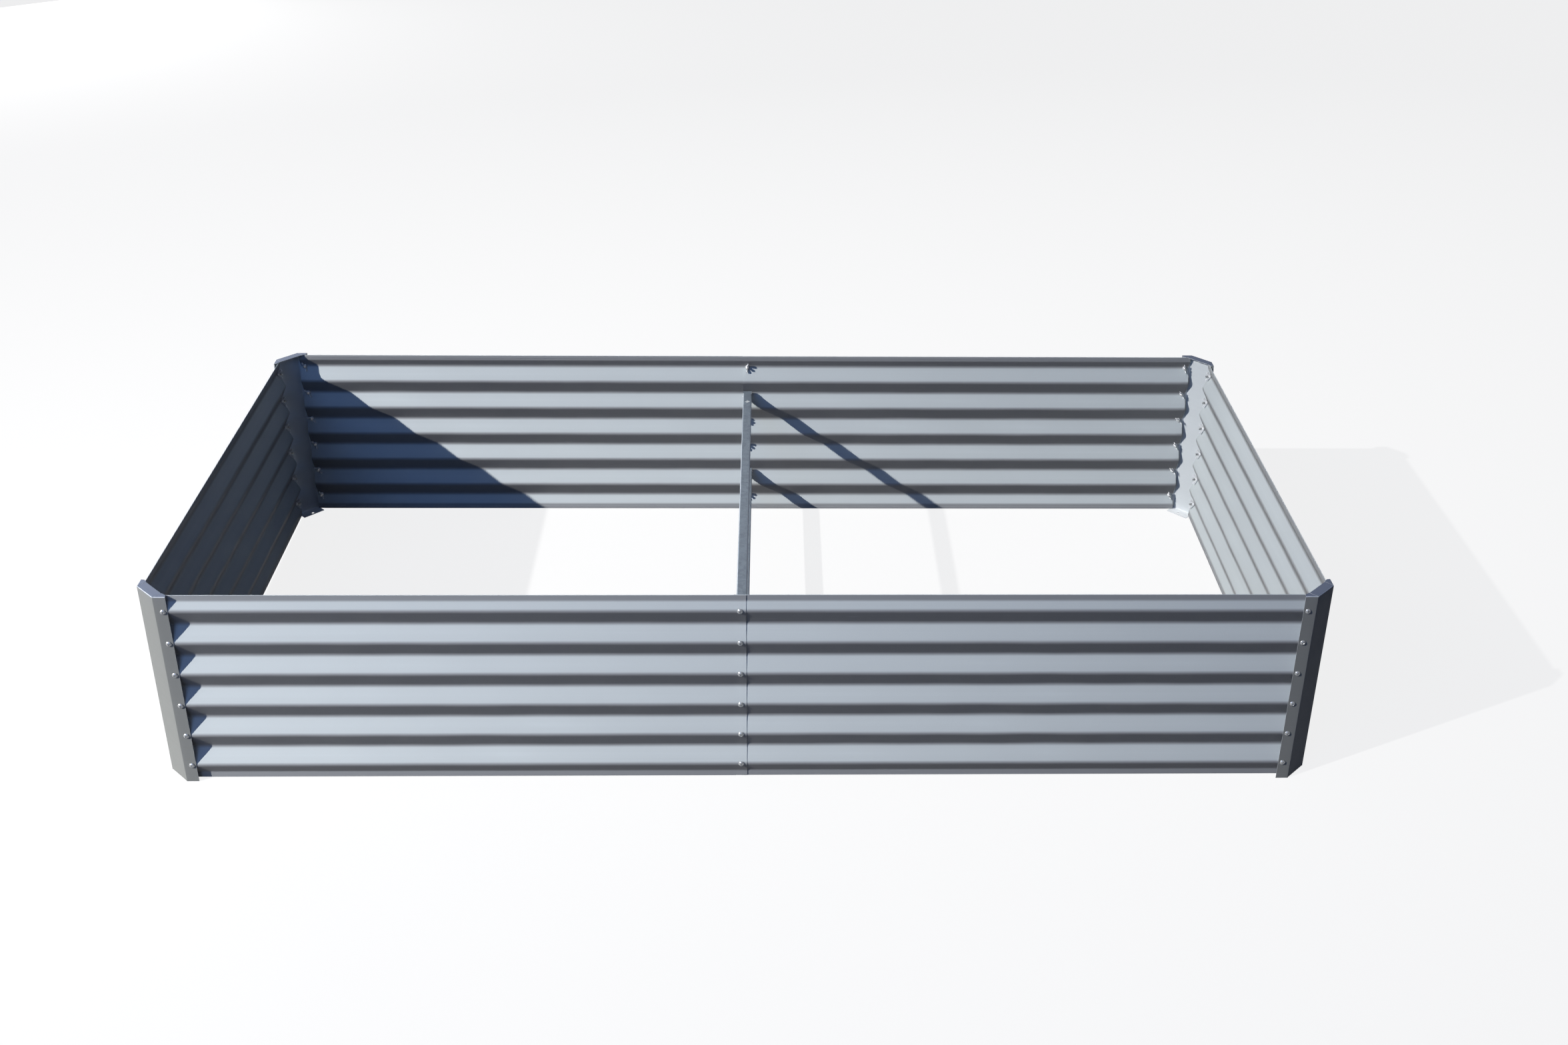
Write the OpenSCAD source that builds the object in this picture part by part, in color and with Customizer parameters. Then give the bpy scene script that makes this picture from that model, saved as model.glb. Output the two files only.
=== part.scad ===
// Raised garden bed of corrugated steel: six wall sheets bolted to four folded corner
// posts, the long walls lapped and bolted at mid length, two channel braces across the bed.
// Length runs along X, the front wall faces -Y, the bed stands on Z = 0.

/* [Bed] */
// Length over the corner posts
bed_length = 2400; // [1500:50:3000]
// Width over the corner posts
bed_width = 1200; // [600:50:1800]
// Height of the corner posts
bed_height = 450; // [430:5:900]

/* [Wall sheets] */
// Thickness of the wall sheet
sheet_t = 0.6; // [0.4:0.05:0.9]
// Distance between neighbouring corrugation crests
corrugation_pitch = 75; // [66:1:84]
// Depth from the crests to the valleys
corrugation_depth = 16.5; // [14:0.5:19]
// Radius at the middle of the sheet in crests and valleys
corrugation_radius = 12; // [9:0.5:13]
// Drop from the top of the posts to the first crest and bolt
first_crest_drop = 34.5; // [33:0.5:45]
// How far the top lip lies inward of the crests
top_lip_depth = 8.6; // [5:0.1:10]
// How far the bottom lip lies inward of the crests
bottom_lip_depth = 11; // [6:0.1:13]
// Height of the folded-back hem on both lips
hem_height = 7; // [4:0.5:8]
// Air gap inside the folded hem
hem_gap = 0.3; // [0.2:0.05:0.5]
// Gap between the top lip and the post's cap
cap_clearance = 0.5; // [0.2:0.1:1.5]
// Height of the bottom lip above the ground
ground_clearance = 2; // [1.5:0.5:4]
// Overlap of the two sheets of a long wall
seam_overlap = 24; // [20:1:40]

/* [Corner posts] */
// Thickness of the post's sheet
post_t = 1; // [0.8:0.1:1.5]
// Reach of the chamfer along each wall
chamfer_leg = 43; // [38:1:60]
// Width of the flange over the wall sheet
flange_w = 25.5; // [23:0.5:40]
// Radius at the middle of the sheet in the post's folds
post_fold_radius = 2; // [1:0.25:3]
// Distance from the fold to the row of bolts
bolt_inset = 16.5; // [14:0.5:17]
// Distance from the wall sheet's end to its row of bolts
sheet_end_inset = 11; // [8:0.5:13]
// Width of the cap turned in at the top of the chamfer
cap_w = 20; // [14:1:24]
// Depth of the flange's cap at its free end
cap_end_w = 8; // [6:0.5:9]
// Slit between neighbouring caps
cap_slit = 0.4; // [0.2:0.1:1]
// Width of the foot turned in at the bottom of the chamfer
foot_w = 30; // [26:1:40]
// Diameter of the peg hole in the foot
peg_hole_d = 7; // [4:0.5:10]
// Distance from the chamfer's face to the peg hole
peg_hole_inset = 22.5; // [14:0.5:24]

/* [Braces] */
// Width of the brace's web
brace_w = 22; // [18:1:30]
// Depth of the brace's side flanges
brace_depth = 16.5; // [12:0.5:24]
// Thickness of the brace's sheet
brace_t = 1.2; // [0.8:0.1:1.6]
// Radius at the middle of the sheet in the brace's folds
brace_fold_radius = 2; // [1.5:0.25:3]
// Rise of the web's top above the bolt that holds the brace
brace_rise = 8; // [7.5:0.25:10]
// Reach of the end tab below that bolt
tab_drop = 14; // [10:0.5:18]
// Length at each end where the side flanges stop to leave room for the wing nut
flange_setback = 16; // [14:1:30]
// Side of the square hole in the web
brace_hole_w = 10; // [6:0.5:12]
// Distance from the tab to that hole's centre
brace_hole_inset = 65; // [45:1:120]

/* [Bolts and wing nuts] */
// Diameter of the bolt's shank
bolt_d = 5.9; // [4.5:0.1:6.2]
// Length of the bolt under its head
bolt_length = 16; // [16:1:25]
// Diameter of the bolt's head
head_d = 11.6; // [10:0.2:13]
// Height of the bolt's head
head_h = 3.8; // [3:0.1:5]
// Height of the straight rim of the head
head_rim_h = 0.9; // [0.5:0.1:1.5]
// Width of the slots of the cross recess
recess_w = 1.3; // [1:0.1:1.6]
// Depth of the cross recess
recess_depth = 2.3; // [1.5:0.1:2.6]
// Radius of the cross recess at the top of the head
recess_r = 3.2; // [2.2:0.1:3.8]
// Clearance round the bolt in its holes, on the diameter
hole_clearance = 0.7; // [0.4:0.1:1]
// Diameter of the wing nut's base
hub_d = 10; // [9:0.2:12]
// Diameter of the wing nut's barrel at its free end
hub_end_d = 8.4; // [7.8:0.1:9]
// Height of the wing nut's barrel
hub_h = 5.8; // [5:0.1:6]
// Reach of the wings' tips from the bolt's axis
wing_reach = 12.9; // [11:0.1:14]
// Height of the wings above the nut's base
wing_h = 12.5; // [10:0.1:14]
// Radius of the wings' round tips
wing_tip_r = 3.2; // [2.4:0.1:3.6]
// Thickness of the wings
wing_t = 1.8; // [1.2:0.1:2.4]

/* [Hidden] */
$fn = 48;

// Clearances and overruns
cut_overrun = 1;        // how far every cut runs past the face it leaves
lap_clearance = 0.05;   // air between the two lapped sheets
seat_clearance = 0.1;   // air under a wing nut and behind a brace tab
thread_clearance = 0.05; // air round the bolt in its nut, on the radius
fuse = 0.5;             // overlap of two pieces of one folded part
bend_angle_step = 8;    // turn of one facet in a rolled bend

// Half angle of the corrugation: the straight flanks lean this far from the vertical
half_pitch = corrugation_pitch / 2;
radius_excess = 2 * corrugation_radius - corrugation_depth;
flank_angle = asin(2 * corrugation_radius / norm([half_pitch, radius_excess]))
    - atan2(radius_excess, half_pitch);
// How far a rounded crest stays short of the sharp point where its flanks would meet
crest_rounding = corrugation_radius * (1 / cos(flank_angle) - 1);

// Heights of the crests, and so of the bolts
hem_step = sheet_t + hem_gap;
hem_radius_share = 0.48;
hem_radius = hem_step * hem_radius_share;
lip_bend = corrugation_radius * tan(flank_angle / 2);
least_bottom_drop = ground_clearance + hem_height + lip_bend + lip_rise(bottom_lip_depth);
row_count = 1 + floor((bed_height - first_crest_drop - least_bottom_drop) / corrugation_pitch);
top_z = bed_height - post_t - cap_clearance;
upper_brace_row = 1;
lower_brace_row = row_count - 2;

// Places along the walls
bolt_from_corner = chamfer_leg + bolt_inset;
sheet_from_corner = bolt_from_corner - sheet_end_inset;
long_sheet_length = bed_length / 2 - sheet_from_corner + seam_overlap / 2;
end_sheet_length = bed_width - 2 * sheet_from_corner;
hem_relief = seam_overlap + fuse;

// Depths measured inward from the outer face of the corner posts
seam_inset = sheet_t / cos(flank_angle) + lap_clearance;
trough_radius = corrugation_radius - sheet_t / 2;
hub_dish = trough_radius - sqrt(pow(trough_radius, 2) - pow(hub_d / 2, 2));
nut_seat = post_t + sheet_t + hub_dish + seat_clearance;
inset_nut_seat = nut_seat + seam_inset;
tab_face = post_t + seam_inset + trough_depth(tab_drop) + seat_clearance;
tab_nut_seat = tab_face + brace_t + seat_clearance;

// Brace
tab_plane = bed_width / 2 - tab_face;
channel_end = tab_plane - flange_setback;
bolt_hole_d = bolt_d + hole_clearance;

// Post: where the chamfer's middle surface meets the flanges' middle surfaces
post_fold = chamfer_leg + post_t * (sqrt(2) - 1) / 2;
flange_end = chamfer_leg + flange_w;
cap_run = cap_w / sqrt(2);
foot_run = foot_w / sqrt(2);
slit_run = cap_slit * sqrt(2);
peg_hole_place = chamfer_leg / 2 + peg_hole_inset / sqrt(2);
cap_end_taper = post_t;

// Bolt head: a ball of this radius gives the dome
dome_h = head_h - head_rim_h;
dome_r = (pow(head_d / 2, 2) + pow(dome_h, 2)) / (2 * dome_h);
tip_chamfer = 0.8;
recess_foot_r = 1.1;

// Wing nut: centre of the wing's round tip, and where the wing leaves the barrel
wing_tip = [wing_reach - wing_tip_r, wing_h - wing_tip_r];
wing_root_in = bolt_d / 2;
wing_root_out = hub_d / 2 - thread_clearance;
wing_root_low = 1.2;
wing_shoulder = [hub_end_d / 2 - wing_t / 2, hub_h];
recess_turn_step = 53;   // turn from one bolt's recess to the next
nut_turn_step = 137;     // turn from one wing nut to the next
brace_nut_turn = 12;     // lean of the wing nuts that sit under a brace

zinc_grey = [0.70, 0.72, 0.74];
bolt_silver = [0.82, 0.83, 0.84];
paint_grey = [0.55, 0.58, 0.60];
paint_shade = [0.47, 0.49, 0.51];

// Height from a crest to the fold where a lip that lies this deep begins
function lip_rise(depth) = (depth + crest_rounding) / tan(flank_angle);

// Depth of the sheet's inner face, from the crest's outer face, this far up or down a flank
function trough_depth(drop) = sheet_t / 2 + drop * tan(flank_angle) - crest_rounding
    + sheet_t / 2 / cos(flank_angle);

// Height of a crest and of its bolts, counted from the top
function row_z(row) = bed_height - first_crest_drop - row * corrugation_pitch;

// One face of a bent strip, a distance to the left of its middle line. The middle line
// is a list of [x, y, bend radius].
function place(corner) = [corner[0], corner[1]];
function heading(from, to) = (place(to) - place(from)) / norm(place(to) - place(from));
function left_of(dir) = [-dir[1], dir[0]];
function turned(v, angle) = [v[0] * cos(angle) - v[1] * sin(angle), v[0] * sin(angle) + v[1] * cos(angle)];
function turn_between(a, b) = atan2(a[0] * b[1] - a[1] * b[0], a * b);
function bend_arc(before, corner, after, side) =
    let (
        way_in = heading(before, corner),
        way_out = heading(corner, after),
        turn = turn_between(way_in, way_out),
        way = sign(turn),
        radius = corner[2],
        centre = place(corner) - way_in * radius * tan(abs(turn) / 2) + left_of(way_in) * radius * way,
        steps = ceil(abs(turn) / bend_angle_step)
    )
    [for (i = [0:steps]) centre - turned(left_of(way_in), turn * i / steps) * way * (radius - way * side)];
function strip_face(path, side) =
    let (last = len(path) - 1)
    concat(
        [place(path[0]) + left_of(heading(path[0], path[1])) * side],
        [for (i = [1:last - 1]) each bend_arc(path[i - 1], path[i], path[i + 1], side)],
        [place(path[last]) + left_of(heading(path[last - 1], path[last])) * side]
    );
function reversed(points) = [for (i = [len(points) - 1:-1:0]) points[i]];
module bent_strip(path, thickness)
    polygon(concat(strip_face(path, thickness / 2), reversed(strip_face(path, -thickness / 2))));

// Middle line of a wall sheet: depth inward from the crests, and height
function wall_path() =
    let (
        crest = sheet_t / 2 - crest_rounding,
        valley = sheet_t / 2 + corrugation_depth + crest_rounding,
        top_lip = sheet_t / 2 + top_lip_depth,
        bottom_lip = sheet_t / 2 + bottom_lip_depth,
        top_bend_z = top_z - sheet_t / 2,
        bottom_bend_z = ground_clearance + sheet_t / 2,
        last_row = row_count - 1
    )
    concat(
        [
            [top_lip + hem_step, top_z - hem_height, 0],
            [top_lip + hem_step, top_bend_z, hem_radius],
            [top_lip, top_bend_z, hem_radius],
            [top_lip, row_z(0) + lip_rise(top_lip_depth), corrugation_radius],
            [crest, row_z(0), corrugation_radius]
        ],
        [for (row = [1:last_row]) each [
            [valley, row_z(row) + half_pitch, corrugation_radius],
            [crest, row_z(row), corrugation_radius]
        ]],
        [
            [bottom_lip, row_z(last_row) - lip_rise(bottom_lip_depth), corrugation_radius],
            [bottom_lip, bottom_bend_z, hem_radius],
            [bottom_lip + hem_step, bottom_bend_z, hem_radius],
            [bottom_lip + hem_step, ground_clearance + hem_height, 0]
        ]
    );

// A wall sheet along X from 0, crests facing -Y, with a row of bolt holes near each end.
// A trimmed sheet has no hems where it laps over its neighbour, at its far end.
module wall_sheet(length, near_inset, far_inset, trimmed = false) {
    difference() {
        rotate([90, 0, 90])
            linear_extrude(length)
                bent_strip(wall_path(), sheet_t);
        for (place_x = [near_inset, length - far_inset])
            for (row = [0:row_count - 1])
                bolt_hole(place_x, row_z(row), corrugation_depth / 2);
        if (trimmed) {
            hem_cut(length, top_lip_depth, top_z - hem_height);
            hem_cut(length, bottom_lip_depth, ground_clearance);
        }
    }
}

// Removes the folded-back layer of a hem from the lapped end of a sheet
module hem_cut(length, lip_depth, foot_z)
    translate([length - hem_relief, sheet_t + lip_depth + lap_clearance, foot_z - cut_overrun])
        cube([hem_relief + cut_overrun, hem_step + sheet_t, hem_height + 2 * cut_overrun]);

// A bolt hole through a wall along Y
module bolt_hole(place_x, place_z, depth)
    translate([place_x, -cut_overrun, place_z])
        rotate([-90, 0, 0])
            cylinder(d = bolt_hole_d, h = depth + cut_overrun);

// The outer face of a wall: X along it, Y inward
module on_front()
    translate([0, -bed_width / 2, 0])
        children();
module on_back()
    mirror([0, 1, 0])
        on_front()
            children();
module on_left_end()
    translate([-bed_length / 2, 0, 0])
        rotate(-90)
            children();
module on_right_end()
    mirror([1, 0, 0])
        on_left_end()
            children();

// Left sheet of a long wall: it laps outside its neighbour at the seam
module left_sheet()
    color(paint_grey)
        translate([sheet_from_corner - bed_length / 2, post_t, 0])
            wall_sheet(long_sheet_length, sheet_end_inset, seam_overlap / 2, trimmed = true);

// Right sheet of a long wall: it lies one sheet further in
module right_sheet()
    color(paint_grey)
        translate([-seam_overlap / 2, post_t + seam_inset, 0])
            wall_sheet(long_sheet_length, seam_overlap / 2, sheet_end_inset);

module end_sheet()
    color(paint_grey)
        translate([-end_sheet_length / 2, post_t, 0])
            wall_sheet(end_sheet_length, sheet_end_inset, sheet_end_inset);

module front_left_panel() on_front() left_sheet();
module front_right_panel() on_front() right_sheet();
module back_left_panel() on_back() left_sheet();
module back_right_panel() on_back() right_sheet();
module left_end_panel() on_left_end() end_sheet();
module right_end_panel() on_right_end() end_sheet();

// The front left corner post, with the bed's corner at the origin
module corner_post() {
    color(paint_shade)
        difference() {
            union() {
                linear_extrude(bed_height)
                    bent_strip(
                        [
                            [post_t / 2, flange_end, 0],
                            [post_t / 2, post_fold, post_fold_radius],
                            [post_fold, post_t / 2, post_fold_radius],
                            [flange_end, post_t / 2, 0]
                        ],
                        post_t
                    );
                translate([0, 0, bed_height - post_t])
                    linear_extrude(post_t) {
                        turned_in_strip(cap_run);
                        flange_cap();
                        mirror([1, -1, 0])
                            flange_cap();
                    }
                linear_extrude(post_t)
                    turned_in_strip(foot_run);
            }
            for (row = [0:row_count - 1]) {
                bolt_hole(bolt_from_corner, row_z(row), 2 * post_t);
                mirror([1, -1, 0])
                    bolt_hole(bolt_from_corner, row_z(row), 2 * post_t);
            }
            translate([peg_hole_place, peg_hole_place, -cut_overrun])
                cylinder(d = peg_hole_d, h = post_t + 2 * cut_overrun);
        }
}

// A strip turned in from the chamfer, square to it
module turned_in_strip(run)
    polygon([
        [post_t / 2, post_fold],
        [post_fold, post_t / 2],
        [post_fold + run, post_t / 2 + run],
        [post_t / 2 + run, post_fold + run]
    ]);

// The small cap turned in from the front flange
module flange_cap()
    polygon([
        [post_fold + slit_run, post_t / 2],
        [flange_end, post_t / 2],
        [flange_end - cap_end_taper, cap_end_w],
        [post_fold + slit_run + cap_run, post_t / 2 + cap_run]
    ]);

module at_front_left()
    translate([-bed_length / 2, -bed_width / 2, 0])
        children();

module front_left_post() at_front_left() corner_post();
module front_right_post() mirror([1, 0, 0]) at_front_left() corner_post();
module back_left_post() mirror([0, 1, 0]) at_front_left() corner_post();
module back_right_post() mirror([1, 0, 0]) mirror([0, 1, 0]) at_front_left() corner_post();

// A brace: a channel open downward whose web runs on to a tab bolted to each long wall.
// Its web's top is at Z = 0.
module brace_bar() {
    rail = brace_w / 2 - brace_t / 2;
    difference() {
        union() {
            rotate([90, 0, 0])
                linear_extrude(2 * channel_end, center = true)
                    bent_strip(
                        [
                            [-rail, -brace_depth, 0],
                            [-rail, -brace_t / 2, brace_fold_radius],
                            [rail, -brace_t / 2, brace_fold_radius],
                            [rail, -brace_depth, 0]
                        ],
                        brace_t
                    );
            brace_end();
            mirror([0, 1, 0])
                brace_end();
        }
        for (side = [-1, 1])
            translate([0, side * (tab_plane - brace_hole_inset), -brace_t / 2])
                rotate(45)
                    cube([brace_hole_w, brace_hole_w, brace_t + 2 * cut_overrun], center = true);
    }
}

// The flat end of a brace with its bolted tab, at the back wall
module brace_end()
    difference() {
        rotate([90, 0, 90])
            linear_extrude(brace_w, center = true)
                bent_strip(
                    [
                        [channel_end - fuse, -brace_t / 2, 0],
                        [tab_plane - brace_t / 2, -brace_t / 2, brace_fold_radius],
                        [tab_plane - brace_t / 2, -brace_rise - tab_drop, 0]
                    ],
                    brace_t
                );
        translate([0, tab_plane + cut_overrun, -brace_rise])
            rotate([90, 0, 0])
                cylinder(d = bolt_hole_d, h = brace_t + 2 * cut_overrun);
    }

module upper_brace()
    color(zinc_grey)
        translate([0, 0, row_z(upper_brace_row) + brace_rise])
            brace_bar();
module lower_brace()
    color(zinc_grey)
        translate([0, 0, row_z(lower_brace_row) + brace_rise])
            brace_bar();

// A domed bolt with a cross recess: it points along +Y, the underside of its head at Y = 0
module bolt(recess_turn)
    rotate([-90, 0, 0]) {
        difference() {
            intersection() {
                translate([0, 0, -head_h])
                    cylinder(d = head_d, h = head_h);
                translate([0, 0, dome_r - head_h])
                    sphere(r = dome_r);
            }
            translate([0, 0, -head_h])
                rotate(recess_turn)
                    cross_recess();
        }
        translate([0, 0, -fuse])
            cylinder(d = bolt_d, h = bolt_length - tip_chamfer + fuse);
        translate([0, 0, bolt_length - tip_chamfer])
            cylinder(d1 = bolt_d, d2 = bolt_d - 2 * tip_chamfer, h = tip_chamfer);
    }

module cross_recess()
    intersection() {
        for (turn = [0, 90])
            rotate(turn)
                cube([2 * recess_r, recess_w, 2 * recess_depth], center = true);
        translate([0, 0, -recess_depth])
            cylinder(r1 = 2 * recess_r - recess_foot_r, r2 = recess_foot_r, h = 2 * recess_depth);
    }

// Point where a line from a point touches a circle, on its right or left side
function touch_point(from, centre, radius, side) =
    let (
        away = norm(centre - from),
        aim = (centre - from) / away,
        swing = side * asin(radius / away)
    )
    from + turned(aim, swing) * sqrt(pow(away, 2) - pow(radius, 2));

// A wing nut on the Y axis: its base is at Y = 0 and its wings point along +Y
module wing_nut(turn)
    rotate([-90, turn, 0])
        difference() {
            union() {
                cylinder(d1 = hub_d, d2 = hub_end_d, h = hub_h);
                wing();
                mirror([1, 0, 0])
                    wing();
            }
            translate([0, 0, -cut_overrun])
                cylinder(r = bolt_d / 2 + thread_clearance, h = wing_h + cut_overrun);
        }

module wing()
    rotate([90, 0, 0])
        linear_extrude(wing_t, center = true) {
            translate(wing_tip)
                circle(r = wing_tip_r);
            polygon([
                [wing_root_in, wing_root_low],
                [wing_root_out - wing_root_low / 2, wing_root_low],
                touch_point([wing_root_out - wing_root_low / 2, wing_root_low], wing_tip, wing_tip_r, -1),
                wing_tip,
                touch_point(wing_shoulder, wing_tip, wing_tip_r, 1),
                wing_shoulder,
                [wing_root_in, hub_h]
            ]);
        }

// A column of bolts through a wall, one in each crest
module bolt_column(place_x, head_y, first_turn)
    color(bolt_silver)
        for (row = [0:row_count - 1])
            translate([place_x, head_y, row_z(row)])
                bolt(first_turn + row * recess_turn_step);

function under_brace(row) = row == upper_brace_row || row == lower_brace_row;

// A column of wing nuts inside a wall. At the seam two of them clamp the braces' tabs.
module nut_column(place_x, seat_y, first_turn, at_seam = false)
    color(bolt_silver)
        for (row = [0:row_count - 1])
            let (braced = at_seam && under_brace(row))
                translate([place_x, braced ? tab_nut_seat : seat_y, row_z(row)])
                    wing_nut(braced ? brace_nut_turn : first_turn + row * nut_turn_step);

long_wall_bolt_x = bed_length / 2 - bolt_from_corner;
end_wall_bolt_x = bed_width / 2 - bolt_from_corner;

module front_wall_left_bolts() on_front() bolt_column(-long_wall_bolt_x, 0, 20);
module front_wall_right_bolts() on_front() bolt_column(long_wall_bolt_x, 0, 75);
module back_wall_left_bolts() on_back() bolt_column(-long_wall_bolt_x, 0, 40);
module back_wall_right_bolts() on_back() bolt_column(long_wall_bolt_x, 0, 10);
module left_end_front_bolts() on_left_end() bolt_column(end_wall_bolt_x, 0, 65);
module left_end_back_bolts() on_left_end() bolt_column(-end_wall_bolt_x, 0, 30);
module right_end_front_bolts() on_right_end() bolt_column(end_wall_bolt_x, 0, 55);
module right_end_back_bolts() on_right_end() bolt_column(-end_wall_bolt_x, 0, 85);
module front_seam_bolts() on_front() bolt_column(0, post_t, 25);
module back_seam_bolts() on_back() bolt_column(0, post_t, 50);

module front_wall_left_wing_nuts() on_front() nut_column(-long_wall_bolt_x, nut_seat, 35);
module front_wall_right_wing_nuts() on_front() nut_column(long_wall_bolt_x, inset_nut_seat, 110);
module back_wall_left_wing_nuts() on_back() nut_column(-long_wall_bolt_x, nut_seat, 70);
module back_wall_right_wing_nuts() on_back() nut_column(long_wall_bolt_x, inset_nut_seat, 140);
module left_end_front_wing_nuts() on_left_end() nut_column(end_wall_bolt_x, nut_seat, 15);
module left_end_back_wing_nuts() on_left_end() nut_column(-end_wall_bolt_x, nut_seat, 125);
module right_end_front_wing_nuts() on_right_end() nut_column(end_wall_bolt_x, nut_seat, 95);
module right_end_back_wing_nuts() on_right_end() nut_column(-end_wall_bolt_x, nut_seat, 50);
module front_seam_wing_nuts() on_front() nut_column(0, inset_nut_seat, 60, at_seam = true);
module back_seam_wing_nuts() on_back() nut_column(0, inset_nut_seat, 25, at_seam = true);

front_left_panel();
front_right_panel();
back_left_panel();
back_right_panel();
left_end_panel();
right_end_panel();
front_left_post();
front_right_post();
back_left_post();
back_right_post();
upper_brace();
lower_brace();
front_wall_left_bolts();
front_wall_right_bolts();
back_wall_left_bolts();
back_wall_right_bolts();
left_end_front_bolts();
left_end_back_bolts();
right_end_front_bolts();
right_end_back_bolts();
front_seam_bolts();
back_seam_bolts();
front_wall_left_wing_nuts();
front_wall_right_wing_nuts();
back_wall_left_wing_nuts();
back_wall_right_wing_nuts();
left_end_front_wing_nuts();
left_end_back_wing_nuts();
right_end_front_wing_nuts();
right_end_back_wing_nuts();
front_seam_wing_nuts();
back_seam_wing_nuts();
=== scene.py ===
import math
import random
from typing import Callable, NamedTuple

import bmesh
import bpy
from bpy.props import FloatProperty, FloatVectorProperty, IntProperty, PointerProperty
from bpy.types import Operator, Panel, PropertyGroup
from mathutils import Euler, Matrix, Vector


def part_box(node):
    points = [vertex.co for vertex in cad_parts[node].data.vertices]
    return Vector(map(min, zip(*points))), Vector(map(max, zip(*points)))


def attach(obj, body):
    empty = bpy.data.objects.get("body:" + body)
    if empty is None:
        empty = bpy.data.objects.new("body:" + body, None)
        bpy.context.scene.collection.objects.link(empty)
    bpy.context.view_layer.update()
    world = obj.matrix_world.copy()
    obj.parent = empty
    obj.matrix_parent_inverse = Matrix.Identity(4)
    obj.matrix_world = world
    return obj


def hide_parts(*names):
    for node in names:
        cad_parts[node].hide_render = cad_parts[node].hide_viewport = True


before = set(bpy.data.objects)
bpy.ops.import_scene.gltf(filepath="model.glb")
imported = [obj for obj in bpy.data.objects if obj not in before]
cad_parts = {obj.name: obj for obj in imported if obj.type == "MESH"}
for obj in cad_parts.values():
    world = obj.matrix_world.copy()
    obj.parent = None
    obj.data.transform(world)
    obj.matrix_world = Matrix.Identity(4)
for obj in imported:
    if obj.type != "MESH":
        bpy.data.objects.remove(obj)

bl_info = {
    "name": "Raised Garden Bed",
    "version": (1, 0, 0),
    "blender": (4, 5, 0),
    "location": "3D View > Sidebar > Garden Bed",
    "description": "Corrugated sheets, folded posts, braces and fasteners of a steel garden bed",
    "category": "Object",
}

BODY = "root"
UP = Vector((0, 0, 1))


# Sizes and colours that a user would change

class WallSheetSizes(PropertyGroup):
    """Sizes of the corrugated wall sheets"""

    thickness: FloatProperty(
        name="Thickness", description="Thickness of the sheet", default=0.0006, unit="LENGTH")
    pitch: FloatProperty(
        name="Pitch", description="Distance between neighbouring crests", default=0.075, unit="LENGTH")
    depth: FloatProperty(
        name="Depth", description="Depth from the crests to the valleys", default=0.0165, unit="LENGTH")
    radius: FloatProperty(
        name="Radius", description="Radius at the middle of the sheet in crests and valleys",
        default=0.012, unit="LENGTH")
    top_lip_depth: FloatProperty(
        name="Top lip depth", description="How far the top lip lies inward of the crests",
        default=0.0086, unit="LENGTH")
    bottom_lip_depth: FloatProperty(
        name="Bottom lip depth", description="How far the bottom lip lies inward of the crests",
        default=0.011, unit="LENGTH")
    hem_height: FloatProperty(
        name="Hem height", description="Height of the folded-back hem on both lips",
        default=0.007, unit="LENGTH")
    hem_gap: FloatProperty(
        name="Hem gap", description="Air gap inside the folded hem", default=0.0003, unit="LENGTH")
    lap: FloatProperty(
        name="Lap", description="Overlap of the two sheets of a long wall",
        default=0.024, unit="LENGTH")
    hole_width: FloatProperty(
        name="Hole width", description="Diameter of the bolt holes in sheets, posts and tabs",
        default=0.0066, unit="LENGTH")
    end_flare: FloatProperty(
        name="End flare", description="Share of its depth that the profile loses at a free end",
        default=0.075, subtype="FACTOR", min=0, max=1)
    lap_spring: FloatProperty(
        name="Lap spring", description="Share of its depth by which a sheet springs off its neighbour",
        default=0.045, subtype="FACTOR", min=0, max=1)
    ripple: FloatProperty(
        name="Ripple", description="How far the rolled sheet wanders from true along its length",
        default=0.0004, unit="LENGTH")
    seed: IntProperty(
        name="Seed", description="Start of the random numbers that place the ripples", default=11)


class PostSizes(PropertyGroup):
    """Sizes of the folded corner posts"""

    thickness: FloatProperty(
        name="Thickness", description="Thickness of the post's sheet", default=0.001, unit="LENGTH")
    chamfer_leg: FloatProperty(
        name="Chamfer leg", description="Reach of the chamfer along each wall",
        default=0.043, unit="LENGTH")
    fold_radius: FloatProperty(
        name="Fold radius", description="Radius at the middle of the sheet in the long folds",
        default=0.002, unit="LENGTH")
    turn_radius: FloatProperty(
        name="Turn radius", description="Radius at the middle of the sheet where caps and foot turn in",
        default=0.0012, unit="LENGTH")
    cap_depth: FloatProperty(
        name="Cap depth", description="Depth of the cap turned in from the chamfer",
        default=0.020, unit="LENGTH")
    cap_end_depth: FloatProperty(
        name="Cap end depth", description="Depth of a flange's cap at its free end",
        default=0.008, unit="LENGTH")
    cap_slit: FloatProperty(
        name="Cap slit", description="Slit between neighbouring caps", default=0.0008, unit="LENGTH")
    foot_depth: FloatProperty(
        name="Foot depth", description="Depth of the foot turned in from the chamfer",
        default=0.030, unit="LENGTH")
    peg_hole_width: FloatProperty(
        name="Peg hole", description="Diameter of the hole in the foot", default=0.007, unit="LENGTH")
    peg_hole_inset: FloatProperty(
        name="Peg hole inset", description="Distance from the chamfer to the hole in the foot",
        default=0.0225, unit="LENGTH")


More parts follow.
